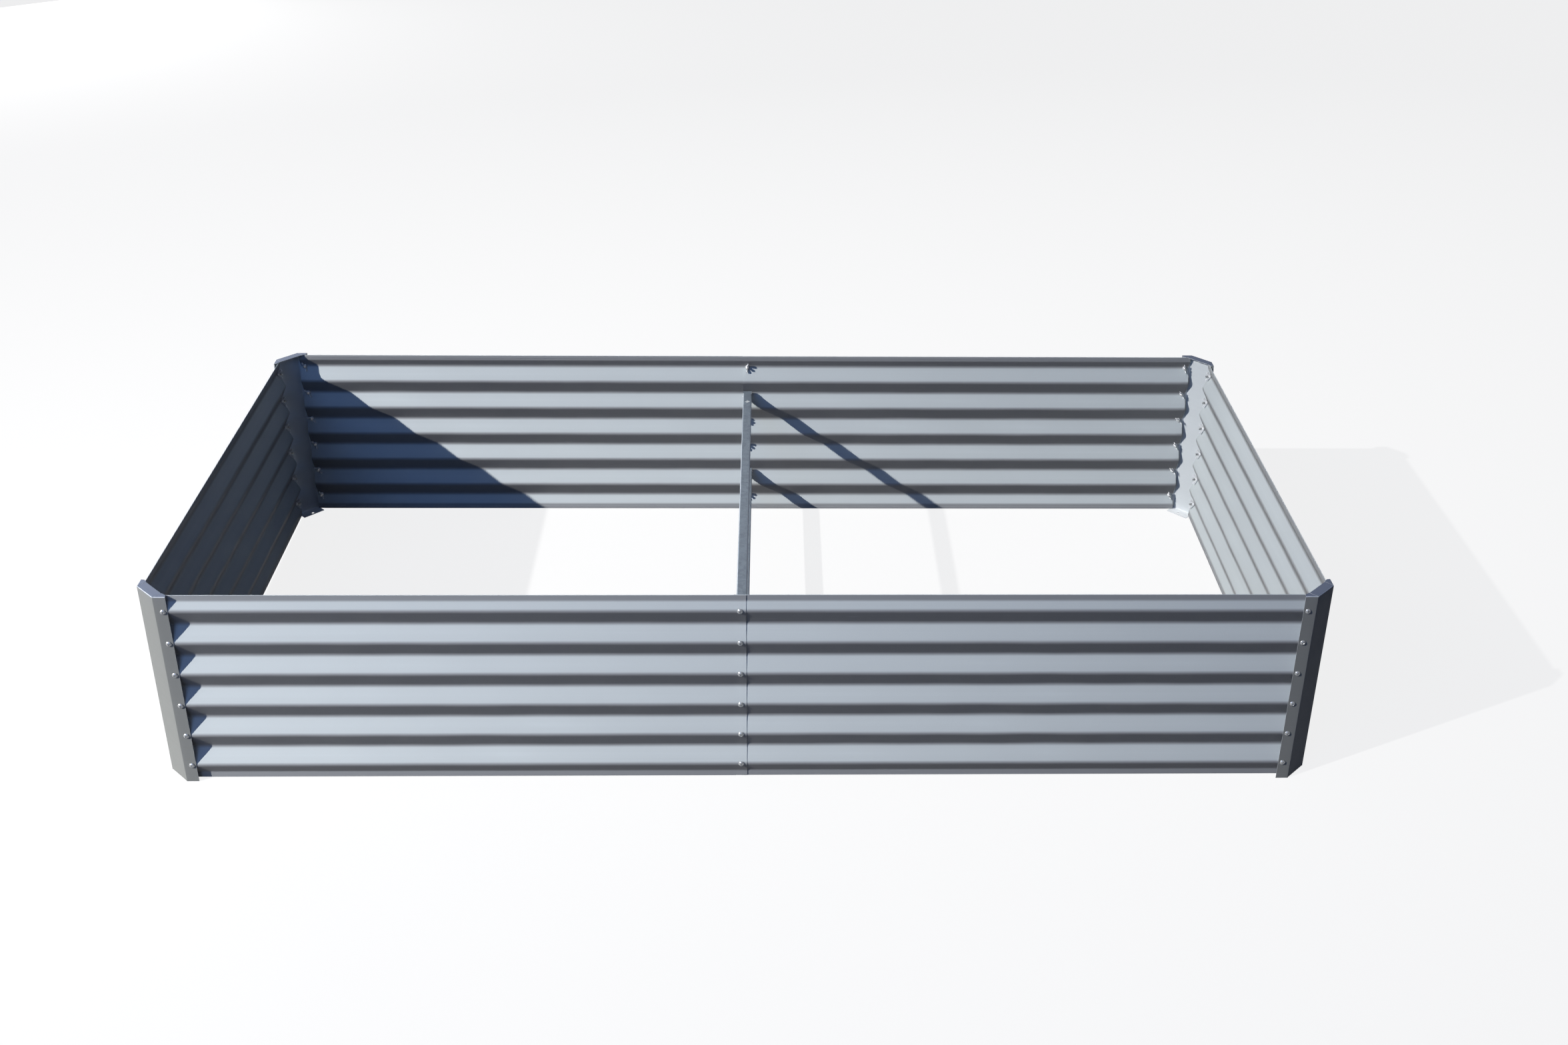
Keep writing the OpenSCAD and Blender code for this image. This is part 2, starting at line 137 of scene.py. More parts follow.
class BraceSizes(PropertyGroup):
    """Sizes of the channel braces"""

    thickness: FloatProperty(
        name="Thickness", description="Thickness of the brace's sheet", default=0.0012, unit="LENGTH")
    depth: FloatProperty(
        name="Depth", description="Depth of the side flanges", default=0.0165, unit="LENGTH")
    fold_radius: FloatProperty(
        name="Fold radius", description="Radius at the middle of the sheet in the folds",
        default=0.002, unit="LENGTH")
    setback: FloatProperty(
        name="Setback", description="Length at each end where the side flanges stop",
        default=0.0142, unit="LENGTH")
    rise: FloatProperty(
        name="Rise", description="Height of the web's top above the bolt that holds the brace",
        default=0.008, unit="LENGTH")
    hole_width: FloatProperty(
        name="Hole width", description="Side of the square hole in the web",
        default=0.010, unit="LENGTH")
    hole_inset: FloatProperty(
        name="Hole inset", description="Distance from the tab to the middle of that hole",
        default=0.065, unit="LENGTH")


class BoltSizes(PropertyGroup):
    """Sizes of the cross-recess bolts"""

    head_width: FloatProperty(
        name="Head width", description="Diameter of the head", default=0.0116, unit="LENGTH")
    head_height: FloatProperty(
        name="Head height", description="Height of the domed head", default=0.0038, unit="LENGTH")
    rim_height: FloatProperty(
        name="Rim height", description="Height of the straight rim under the dome",
        default=0.0009, unit="LENGTH")
    recess_width: FloatProperty(
        name="Recess width", description="Width of the slots of the cross recess",
        default=0.0013, unit="LENGTH")
    recess_depth: FloatProperty(
        name="Recess depth", description="Depth of the cross recess", default=0.0023, unit="LENGTH")
    recess_reach: FloatProperty(
        name="Recess reach", description="Reach of the slots from the middle of the head",
        default=0.0032, unit="LENGTH")
    shank_width: FloatProperty(
        name="Shank width", description="Diameter over the thread", default=0.0059, unit="LENGTH")
    length: FloatProperty(
        name="Length", description="Length under the head", default=0.016, unit="LENGTH")
    thread_pitch: FloatProperty(
        name="Thread pitch", description="Rise of the thread in one turn",
        default=0.001, unit="LENGTH")
    thread_depth: FloatProperty(
        name="Thread depth", description="Depth of the thread's groove",
        default=0.00055, unit="LENGTH")
    turn_step: FloatProperty(
        name="Turn step", description="Turn of the recess from one bolt to the next",
        default=math.radians(53), subtype="ANGLE")


class WingNutSizes(PropertyGroup):
    """Sizes of the cast wing nuts"""

    base_width: FloatProperty(
        name="Base width", description="Diameter of the base", default=0.010, unit="LENGTH")
    barrel_width: FloatProperty(
        name="Barrel width", description="Diameter of the barrel at its free end",
        default=0.0084, unit="LENGTH")
    barrel_height: FloatProperty(
        name="Barrel height", description="Height of the barrel", default=0.0058, unit="LENGTH")
    wing_reach: FloatProperty(
        name="Wing reach", description="Reach of the wings from the bolt's axis",
        default=0.0129, unit="LENGTH")
    wing_height: FloatProperty(
        name="Wing height", description="Height of the wings above the base",
        default=0.0125, unit="LENGTH")
    wing_tip_radius: FloatProperty(
        name="Wing tip radius", description="Radius of the wings' round tips",
        default=0.0032, unit="LENGTH")
    wing_thickness: FloatProperty(
        name="Wing thickness", description="Thickness of the wings", default=0.0018, unit="LENGTH")
    casting_grain: FloatProperty(
        name="Casting grain", description="Size of the smallest form kept when the casting is blended",
        default=0.00026, unit="LENGTH")
    faces: IntProperty(
        name="Faces", description="Number of faces that one wing nut keeps", default=1500)


class FinishColours(PropertyGroup):
    """Colours of the finishes"""

    wall_paint: FloatVectorProperty(
        name="Wall paint", description="Satin paint of the wall sheets on level faces",
        default=(0.276, 0.284, 0.294), subtype="COLOR")
    # Painted light: a lighter paint on the upward flanks stands in for the key light falling on them
    wall_up_painted_light: FloatVectorProperty(
        name="Wall paint facing up", description="Bleached paint on the upward flanks of the sheets",
        default=(0.522, 0.568, 0.582), subtype="COLOR")
    # Painted shade: a darker paint on the downward flanks stands in for the shade on them
    wall_down_painted_shade: FloatVectorProperty(
        name="Wall paint facing down", description="Unbleached paint on the downward flanks",
        default=(0.176, 0.176, 0.180), subtype="COLOR")
    post_paint: FloatVectorProperty(
        name="Post paint", description="Satin paint on the outer face of the corner posts",
        default=(0.214, 0.219, 0.211), subtype="COLOR")
    # Painted reflection: a darker, bluish colour on the caps' tops stands in for a blue sky reflected in
    # them
    post_cap_painted_reflection: FloatVectorProperty(
        name="Post paint facing up", description="Paint on the tops of the post's caps",
        default=(0.180, 0.212, 0.285), subtype="COLOR")
    post_backing: FloatVectorProperty(
        name="Post backing", description="Backing coat on the inner face of the corner posts",
        default=(0.530, 0.560, 0.575), subtype="COLOR")
    # Painted light: the backing coat turns nearly white on upward faces such as the foot, standing in for
    # light falling on them
    post_up_painted_light: FloatVectorProperty(
        name="Post foot", description="Backing coat on the upper face of the post's foot",
        default=(0.880, 0.900, 0.900), subtype="COLOR")
    galvanised: FloatVectorProperty(
        name="Galvanised steel", description="Spangled zinc of the braces",
        default=(0.255, 0.300, 0.345), subtype="COLOR")
    bolt_zinc: FloatVectorProperty(
        name="Bolt zinc", description="Bright zinc plating of the bolts",
        default=(0.45, 0.46, 0.46), subtype="COLOR")
    nut_zinc: FloatVectorProperty(
        name="Wing nut zinc", description="Cast and plated zinc of the wing nuts",
        default=(0.85, 0.86, 0.86), subtype="COLOR")
    cut_edge: FloatVectorProperty(
        name="Cut edge", description="Bare steel and zinc at a sheared edge",
        default=(0.62, 0.65, 0.68), subtype="COLOR")


class StageSizes(PropertyGroup):
    """Camera, lights, floor and backdrop"""

    camera_place: FloatVectorProperty(
        name="Camera place", description="Where the camera stands",
        default=(0.060633, -3.571373, 2.274173), subtype="TRANSLATION")
    camera_turn: FloatVectorProperty(
        name="Camera turn", description="Turn of the camera about X, Y and Z",
        default=[math.radians(turn) for turn in (62.0171, -0.7001, -1.2077)], subtype="EULER")
    camera_lens: FloatProperty(
        name="Lens", description="Focal length in millimetres on a 36 mm wide sensor", default=40.244)
    camera_shift: FloatVectorProperty(
        name="Shift", description="Shift of the picture, as a share of its width",
        size=2, default=(-0.01866, -0.0220))
    key_place: FloatVectorProperty(
        name="Key place", description="Where the key light hangs",
        default=(-30.5, -16.0, 20.7), subtype="TRANSLATION")
    key_aim: FloatVectorProperty(
        name="Key aim", description="Point that the key light is turned to",
        default=(-2.57, -0.68, 0.0), subtype="TRANSLATION")
    key_width: FloatProperty(
        name="Key width", description="Width of the round key light", default=0.40, unit="LENGTH")
    key_spread: FloatProperty(
        name="Key spread", description="Angle over which the key light's honeycomb lets it fall off",
        default=math.radians(12.4), subtype="ANGLE")
    key_power: FloatProperty(
        name="Key power", description="Power of the key light", default=152, unit="POWER")
    key_colour: FloatVectorProperty(
        name="Key colour", description="Colour of the key light", default=(1.0, 0.985, 0.95),
        subtype="COLOR")
    fill_place: FloatVectorProperty(
        name="Fill place", description="Where the fill light hangs",
        default=(-2.6, -5.4, 4.2), subtype="TRANSLATION")
    fill_width: FloatProperty(
        name="Fill width", description="Width of the square lights in front of and behind the bed",
        default=3.0, unit="LENGTH")
    fill_power: FloatProperty(
        name="Fill power", description="Power of the fill light", default=85, unit="POWER")
    fill_colour: FloatVectorProperty(
        name="Fill colour", description="Colour of the fill light, cool like a north sky",
        default=(0.22, 0.44, 1.0), subtype="COLOR")
    back_place: FloatVectorProperty(
        name="Back light place", description="Where the light behind the bed hangs",
        default=(-4.5, 6.0, 1.2), subtype="TRANSLATION")
    back_power: FloatProperty(
        name="Back light power", description="Power of the light behind the bed",
        default=170, unit="POWER")
    room_light: FloatVectorProperty(
        name="Room light", description="Even light from all round",
        default=(0.028, 0.040, 0.082), subtype="COLOR")
    floor_width: FloatProperty(
        name="Floor width", description="Width of the floor", default=60, unit="LENGTH")
    floor_glow: FloatProperty(
        name="Floor glow", description="Share of plain white in the floor as the camera sees it",
        default=0.85, subtype="FACTOR", min=0, max=1)
    floor_bounce: FloatVectorProperty(
        name="Floor bounce", description="Colour of the floor that lights the bed from below",
        default=(0.20, 0.20, 0.20), subtype="COLOR")


SETTINGS = {
    "garden_bed_sheets": WallSheetSizes,
    "garden_bed_posts": PostSizes,
    "garden_bed_braces": BraceSizes,
    "garden_bed_bolts": BoltSizes,
    "garden_bed_wing_nuts": WingNutSizes,
    "garden_bed_finishes": FinishColours,
    "garden_bed_stage": StageSizes,
}


# Places, read from the frame

class Wall(NamedTuple):
    """A wall seen from outside the bed: the way along it and the way inward."""

    along: Vector
    inward: Vector


WALLS = {
    "front": Wall(Vector((1, 0, 0)), Vector((0, 1, 0))),
    "back": Wall(Vector((1, 0, 0)), Vector((0, -1, 0))),
    "left_end": Wall(Vector((0, 1, 0)), Vector((1, 0, 0))),
    "right_end": Wall(Vector((0, 1, 0)), Vector((-1, 0, 0))),
}

# Wall sheet: its wall, and the two columns of bolts through it
SHEETS = {
    "front_left": ("front", "front_wall_left", "front_seam"),
    "front_right": ("front", "front_seam", "front_wall_right"),
    "back_left": ("back", "back_wall_left", "back_seam"),
    "back_right": ("back", "back_seam", "back_wall_right"),
    "left_end": ("left_end", "left_end_front", "left_end_back"),
    "right_end": ("right_end", "right_end_front", "right_end_back"),
}

# Column of fasteners: the wall that it goes through, the turn of its first bolt, and the turn that its
# wing nuts stay near, both in degrees
COLUMNS = {
    "front_wall_left": ("front", 20, 35),
    "front_wall_right": ("front", 75, 110),
    "back_wall_left": ("back", 40, 131),
    "back_wall_right": ("back", 10, 124),
    "left_end_front": ("left_end", 65, 70),
    "left_end_back": ("left_end", 30, 93),
    "right_end_front": ("right_end", 55, 84),
    "right_end_back": ("right_end", 85, 107),
    "front_seam": ("front", 25, 60),
    "back_seam": ("back", 50, 99),
}

# Corner post: which way its walls run from the corner, and the columns through its two flanges
POSTS = {
    "front_left": (1, 1, "left_end_front", "front_wall_left"),
    "front_right": (-1, 1, "right_end_front", "front_wall_right"),
    "back_left": (1, -1, "left_end_back", "back_wall_left"),
    "back_right": (-1, -1, "right_end_back", "back_wall_right"),
}

BRACES = ("upper", "lower")

# Turns in degrees: from one wing nut to the next, the range that they keep to, and under a brace
NUT_TURN_STEP = 17
NUT_TURN_RANGE = 40
BRACE_NUT_TURN = 12


def middle(node):
    """Middle of a CAD node's box."""
    low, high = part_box(node)
    return (low + high) / 2


def outer_corner(node, inward):
    """Corner of a node's box at its outer face, where the way along the wall starts."""
    low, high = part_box(node)
    return Vector([high[i] if inward[i] < 0 else low[i] for i in range(3)])


def bolt_heights(sheets, bolts):
    """Heights of the bolts, from the top down."""
    low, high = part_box("front_wall_left_bolts")
    top, bottom = high.z - bolts.head_width / 2, low.z + bolts.head_width / 2
    steps = round((top - bottom) / sheets.pitch)
    return [top - (top - bottom) * step / steps for step in range(steps + 1)]


# Folded sheet

# Stations are distances along a surface, and two closer than this are one
SAME_STATION = 1e-6


def left_of(way):
    """The way a quarter turn to the left."""
    return Vector((-way.y, way.x))


def turned(way, angle):
    """A way turned to the left by an angle."""
    return Vector((
        way.x * math.cos(angle) - way.y * math.sin(angle),
        way.x * math.sin(angle) + way.y * math.cos(angle),
    ))


class Straight(NamedTuple):
    """A straight run of a folded sheet's middle line."""

    start: Vector
    way: Vector
    length: float

    def at(self, distance):
        return self.start + self.way * distance, left_of(self.way)

    def parts(self, step, _bend_step):
        """Number of parts that are no longer than a step."""
        return max(1, math.ceil(self.length / step))


class Bend(NamedTuple):
    """A bend of a folded sheet's middle line."""

    centre: Vector
    way_in: Vector
    turn: float
    radius: float

    @property
    def length(self):
        return self.radius * abs(self.turn)

    def at(self, distance):
        normal = left_of(turned(self.way_in, math.copysign(distance / self.radius, self.turn)))
        return self.centre - normal * math.copysign(self.radius, self.turn), normal

    def parts(self, _step, bend_step):
        """Number of parts that turn no further than a bend step."""
        return max(2, math.ceil(abs(self.turn) / bend_step))


class FoldLine:
    """Middle line of a folded sheet: straight runs joined by bends.

    It is made from its sharp corners, each an x, a y and the bend's radius there.
    """

    def __init__(self, corners):
        points = [Vector(corner[:2]) for corner in corners]
        self.runs = []
        start = points[0]
        for index in range(1, len(points) - 1):
            before, corner, after = points[index - 1:index + 2]
            way_in, way_out = (corner - before).normalized(), (after - corner).normalized()
            turn = math.atan2(way_in.x * way_out.y - way_in.y * way_out.x, way_in.dot(way_out))
            radius = corners[index][2]
            reach = radius * math.tan(abs(turn) / 2)
            bend_start = corner - way_in * reach
            self.runs.append(Straight(start, way_in, (bend_start - start).length))
            centre = bend_start + left_of(way_in) * math.copysign(radius, turn)
            self.runs.append(Bend(centre, way_in, turn, radius))
            start = corner + way_out * reach
        end = points[-1]
        self.runs.append(Straight(start, (end - start).normalized(), (end - start).length))
        self.starts = [0.0]
        for run in self.runs:
            self.starts.append(self.starts[-1] + run.length)

    def at(self, distance):
        """Point and normal at a distance along the line."""
        last = len(self.runs) - 1
        index = next((i for i in range(last) if distance <= self.starts[i + 1]), last)
        return self.runs[index].at(distance - self.starts[index])

    def stations(self, step, bend_step):
        """Distances along the line that follow its bends, none further apart than a step."""
        found = [0.0]
        for start, run in zip(self.starts, self.runs):
            if run.length > SAME_STATION:
                count = run.parts(step, bend_step)
                found += [start + run.length * i / count for i in range(1, count + 1)]
        return found


class Hole(NamedTuple):
    """A hole in a grid: its middle, half the size of the patch round it, and its edge's radius."""

    middle: Vector
    half: Vector
    radius_at: Callable

    def covers(self, place):
        away = place - self.middle
        return abs(away.x) < self.half.x and abs(away.y) < self.half.y

    def edge(self, place, share):
        """A point this share of the way from a place on the patch's border to the hole's edge."""
        away = place - self.middle
        radius = self.radius_at(math.atan2(away.y, away.x))
        return self.middle + away.lerp(away.normalized() * radius, share)


def round_edge(width):
    """Radius of a round hole in every direction."""
    return lambda angle: width / 2


def diamond_edge(side):
    """Radius of a square hole that is set on its corner."""
    half_diagonal = side / math.sqrt(2)
    return lambda angle: half_diagonal / (abs(math.cos(angle)) + abs(math.sin(angle)))


HOLE_RINGS = 2
HOLE_COLUMNS = 8


def filled_in(stations, step):
    """Sorted stations with none twice and no two further apart than a step."""
    found = []
    for station in sorted(stations):
        if found and station - found[-1] < SAME_STATION:
            continue
        if found:
            before = found[-1]
            count = math.ceil((station - before) / step)
            found += [before + (station - before) * i / count for i in range(1, count)]
        found.append(station)
    return found


def across_hole(centre, half):
    """Stations over the patch of a hole."""
    return [centre + half * (2 * i / HOLE_COLUMNS - 1) for i in range(HOLE_COLUMNS + 1)]


def lay_grid(bm, us, vs, surface, holes=(), left_out=lambda place: False):
    """Lays quads over the stations us and vs of a surface, with rings of quads round each hole."""
    made = {}

    def vertex(place):
        key = (round(place.x / SAME_STATION), round(place.y / SAME_STATION))
        if key not in made:
            made[key] = bm.verts.new(surface(place.x, place.y))
        return made[key]

    for u0, u1 in zip(us, us[1:]):
        for v0, v1 in zip(vs, vs[1:]):
            place = Vector(((u0 + u1) / 2, (v0 + v1) / 2))
            if left_out(place) or any(hole.covers(place) for hole in holes):
                continue
            corners = (u0, v0), (u1, v0), (u1, v1), (u0, v1)
            bm.faces.new([vertex(Vector(corner)) for corner in corners])
    for hole in holes:
        low, high = hole.middle - hole.half, hole.middle + hole.half
        near_us = [u for u in us if low.x - SAME_STATION < u < high.x + SAME_STATION]
        near_vs = [v for v in vs if low.y - SAME_STATION < v < high.y + SAME_STATION]
        border = [(u, near_vs[0]) for u in near_us[:-1]]
        border += [(near_us[-1], v) for v in near_vs[:-1]]
        border += [(u, near_vs[-1]) for u in reversed(near_us[1:])]
        border += [(near_us[0], v) for v in reversed(near_vs[1:])]
        rings = [
            [vertex(hole.edge(Vector(place), ring / HOLE_RINGS)) for place in border]
            for ring in range(HOLE_RINGS + 1)
        ]
        for outer, inner in zip(rings, rings[1:]):
            for i in range(len(border)):
                j = (i + 1) % len(border)
                bm.faces.new([outer[i], outer[j], inner[j], inner[i]])


# Pieces made from meshes

MERGE_DISTANCE = 2e-6
SHARP = math.radians(32)


def mesh_from(bm, name):
    """A mesh from finished bmesh geometry, with doubled points merged and normals made to agree."""
    bmesh.ops.remove_doubles(bm, verts=bm.verts, dist=MERGE_DISTANCE)
    bmesh.ops.recalc_face_normals(bm, faces=bm.faces)
    mesh = bpy.data.meshes.new(name)
    bm.to_mesh(mesh)
    bm.free()
    return mesh


def applied(mesh, *modifiers):
    """A new mesh with modifiers applied, each a type and its settings."""
    worker = bpy.data.objects.new(mesh.name + "_work", mesh)
    bpy.context.scene.collection.objects.link(worker)
    for kind, settings in modifiers:
        modifier = worker.modifiers.new(kind.title(), kind)
        for key, value in settings.items():
            setattr(modifier, key, value)
    ready = worker.evaluated_get(bpy.context.evaluated_depsgraph_get())
    result = bpy.data.meshes.new_from_object(ready)
    result.name = mesh.name
    bpy.data.objects.remove(worker)
    bpy.data.meshes.remove(mesh)
    return result


def smoothed(mesh):
    """Smooth shading that keeps sharp edges."""
    mesh.polygons.foreach_set("use_smooth", [True] * len(mesh.polygons))
    mesh.set_sharp_from_angle(angle=SHARP)
    return mesh


def add_piece(name, mesh, node):
    """Adds a mesh as a smooth piece that stands for a CAD node."""
    piece = bpy.data.objects.new(name, smoothed(mesh))
    bpy.context.scene.collection.objects.link(piece)
    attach(piece, BODY)
    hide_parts(node)


def add_folded(name, bm, thickness, node, outward, finishes):
    """Adds a middle surface as a piece of sheet metal.

    Its finishes are the outer face's, the inner face's and the cut edge's, and outward is the way
    that the first face of the surface looks.
    """
    mesh = mesh_from(bm, name)
    if mesh.polygons[0].normal.dot(outward) < 0:
        mesh.flip_normals()
    for finish in finishes:
        mesh.materials.append(find_material(finish))
    thick = applied(mesh, ("SOLIDIFY", {
        "thickness": thickness, "offset": 0, "use_even_offset": True,
        "material_offset": 1, "material_offset_rim": 2}))
    add_piece(name, thick, node)


def find_material(name):
    """The material of that name, made the first time that it is asked for."""
    return bpy.data.materials.get(name) or MATERIALS[name](name)


# Wall sheets

SHEET_STEP = 0.045
FLANK_STEP = 0.0155
CREST_BEND_STEP = math.radians(5.6)
HEM_RADIUS_SHARE = 0.48
HEM_RUNS = 4
FLARE_REACH = 0.020
RIPPLE_FADE = 0.09
RIPPLE_WAVES = 7
WAVES_A_METRE_ALONG = (2.0, 7.0)
WAVES_A_METRE_UP = (3.0, 11.0)


class Corrugation:
    """Cross-section of a wall sheet: depth inward from the crests, and height."""

    def __init__(self, sizes, heights, bottom, top):
        half_pitch, radius = sizes.pitch / 2, sizes.radius
        excess = 2 * radius - sizes.depth
        self.flank = (math.asin(2 * radius / math.hypot(half_pitch, excess))
                      - math.atan2(excess, half_pitch))
        rounding = radius * (1 / math.cos(self.flank) - 1)
        half_sheet = sizes.thickness / 2
        crest, valley = half_sheet - rounding, half_sheet + sizes.depth + rounding
        step = sizes.thickness + sizes.hem_gap
        hem_radius = step * HEM_RADIUS_SHARE
        lips = []
        for lip_depth, edge, way, height in (
            (sizes.top_lip_depth, top, 1, heights[0]),
            (sizes.bottom_lip_depth, bottom, -1, heights[-1]),
        ):
            lip = half_sheet + lip_depth
            rise = (lip_depth + rounding) / math.tan(self.flank)
            lips.append([
                (lip + step, edge - way * sizes.hem_height, 0),
                (lip + step, edge - way * half_sheet, hem_radius),
                (lip, edge - way * half_sheet, hem_radius),
                (lip, height + way * rise, radius),
            ])
        waves = [(crest, heights[0], radius)]
        for height in heights[1:]:
            waves += [(valley, height + half_pitch, radius), (crest, height, radius)]
        self.line = FoldLine(lips[0] + waves + lips[1][::-1])
        self.hem_length = self.line.starts[HEM_RUNS]
        self.crest_half = radius * self.flank

    def crest_place(self, height):
        """Distance along the line to the crest at a height."""
        for start, run in zip(self.line.starts, self.line.runs):
            place = start + run.length / 2
            point, _ = self.line.at(place)
            if isinstance(run, Bend) and abs(point.y - height) < SAME_STATION:
                return place
        raise ValueError(f"no crest at height {height:.4f}")


def ripple_of(sizes, numbers, length, height):
    """A smooth wandering of the sheet that dies out towards its bolted ends and its hems."""
    waves = [
        (numbers.uniform(*WAVES_A_METRE_ALONG), numbers.uniform(*WAVES_A_METRE_UP),
         numbers.uniform(0, 2 * math.pi))
        for _ in range(RIPPLE_WAVES)
    ]

    def ripple(x, z):
        ends = min(1, x / RIPPLE_FADE, (length - x) / RIPPLE_FADE)
        hems = min(1, z / RIPPLE_FADE, (height - z) / RIPPLE_FADE)
        total = sum(math.sin(2 * math.pi * (along * x + up * z) + phase) for along, up, phase in waves)
        return sizes.ripple * max(0, ends) ** 2 * max(0, hems) * total / math.sqrt(RIPPLE_WAVES)

    return ripple


def flare_of(length, start_share, end_share):
    """Share by which the depth of the profile shrinks near the sheet's two cut ends."""

    def flare(x):
        start = max(0, 1 - x / FLARE_REACH)
        end = max(0, 1 - (length - x) / FLARE_REACH)
        return start_share * start + end_share * end

    return flare


class GARDENBED_OT_wall_sheets(Operator):
    """Six corrugated wall sheets with hems, bolt holes and laps at the seams"""

    bl_idname = "gardenbed.wall_sheets"
    bl_label = "Wall Sheets"

    def execute(self, context):
        scene = context.scene
        heights = bolt_heights(scene.garden_bed_sheets, scene.garden_bed_bolts)
        numbers = random.Random(scene.garden_bed_sheets.seed)
        for name in SHEETS:
            add_wall_sheet(name, scene.garden_bed_sheets, heights, numbers)
        return {"FINISHED"}


def add_wall_sheet(name, sizes, heights, numbers):
    """Adds one wall sheet. At a lap the left one lies outside without hems, and both spring apart."""
    wall_name, *columns = SHEETS[name]
    wall = WALLS[wall_name]
    node = f"{name}_panel"
    low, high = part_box(node)
    corner = outer_corner(node, wall.inward)
    foot = Vector((corner.x, corner.y, 0))
    length = abs((high - low).dot(wall.along))
    section = Corrugation(sizes, heights, low.z, high.z)
    ripple = ripple_of(sizes, numbers, length, high.z)

    half = Vector((section.crest_half, section.crest_half))
    places = [(middle(f"{column}_bolts") - corner).dot(wall.along) for column in columns]
    holes = [
        Hole(Vector((place, section.crest_place(height))), half, round_edge(sizes.hole_width))
        for place in places for height in heights
    ]

    lapped = wall_name in ("front", "back")
    trimmed = lapped and name.endswith("left")
    flare = flare_of(
        length,
        start_share=-sizes.lap_spring if lapped and not trimmed else sizes.end_flare,
        end_share=sizes.lap_spring if trimmed else sizes.end_flare)

    trim_start = length - sizes.lap
    us = [0, length, FLARE_REACH, length - FLARE_REACH] + [trim_start] * trimmed
    for place in places:
        us += across_hole(place, section.crest_half)
    vs = section.line.stations(FLANK_STEP, CREST_BEND_STEP)
    hem = section.hem_length

    def surface(x, distance):
        point, normal = section.line.at(distance)
        depth = point.x * (1 - flare(x))
        point = Vector((depth, point.y)) + normal * ripple(x, point.y)
        return foot + wall.along * x + wall.inward * point.x + UP * point.y

    def cut_hem(place):
        return trimmed and place.x > trim_start and not hem < place.y < vs[-1] - hem

    bm = bmesh.new()
    lay_grid(bm, filled_in(us, SHEET_STEP), vs, surface, holes, cut_hem)
    add_folded(f"wall_sheet_{name}", bm, sizes.thickness, node, wall.inward,
               ("wall_coating", "wall_coating", "sheared_edge"))


# Corner posts

POST_STEP = 0.03
POST_ACROSS_STEP = 0.012
POST_BEND_STEP = math.radians(9)
HOLE_PATCH = 0.0052
HALF_FOLD = math.radians(45) / 2


class GARDENBED_OT_corner_posts(Operator):
    """Four folded corner posts with caps and a foot turned in"""

    bl_idname = "gardenbed.corner_posts"
    bl_label = "Corner Posts"

    def execute(self, context):
        for name in POSTS:
            add_corner_post(name, context.scene)
        return {"FINISHED"}


def add_corner_post(name, scene):
    """Adds one corner post at its corner of the bed."""
    run_x, run_y, side_column, long_column = POSTS[name]
    node = f"{name}_post"
    low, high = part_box(node)
    corner = Vector((low.x if run_x > 0 else high.x, low.y if run_y > 0 else high.y, 0))
    bolt_places = (
        abs(middle(f"{side_column}_bolts").y - corner.y),
        abs(middle(f"{long_column}_bolts").x - corner.x),
    )

    def placed(x, y, z):
        return corner + Vector((run_x * x, run_y * y, z))

    bm = bmesh.new()
    CornerPost(scene, high - low, bolt_places).lay(bm, placed)
    add_folded(f"corner_post_{name}", bm, scene.garden_bed_posts.thickness, node,
               Vector((-run_x, 0, 0)), ("post_coating", "post_backing", "sheared_edge"))


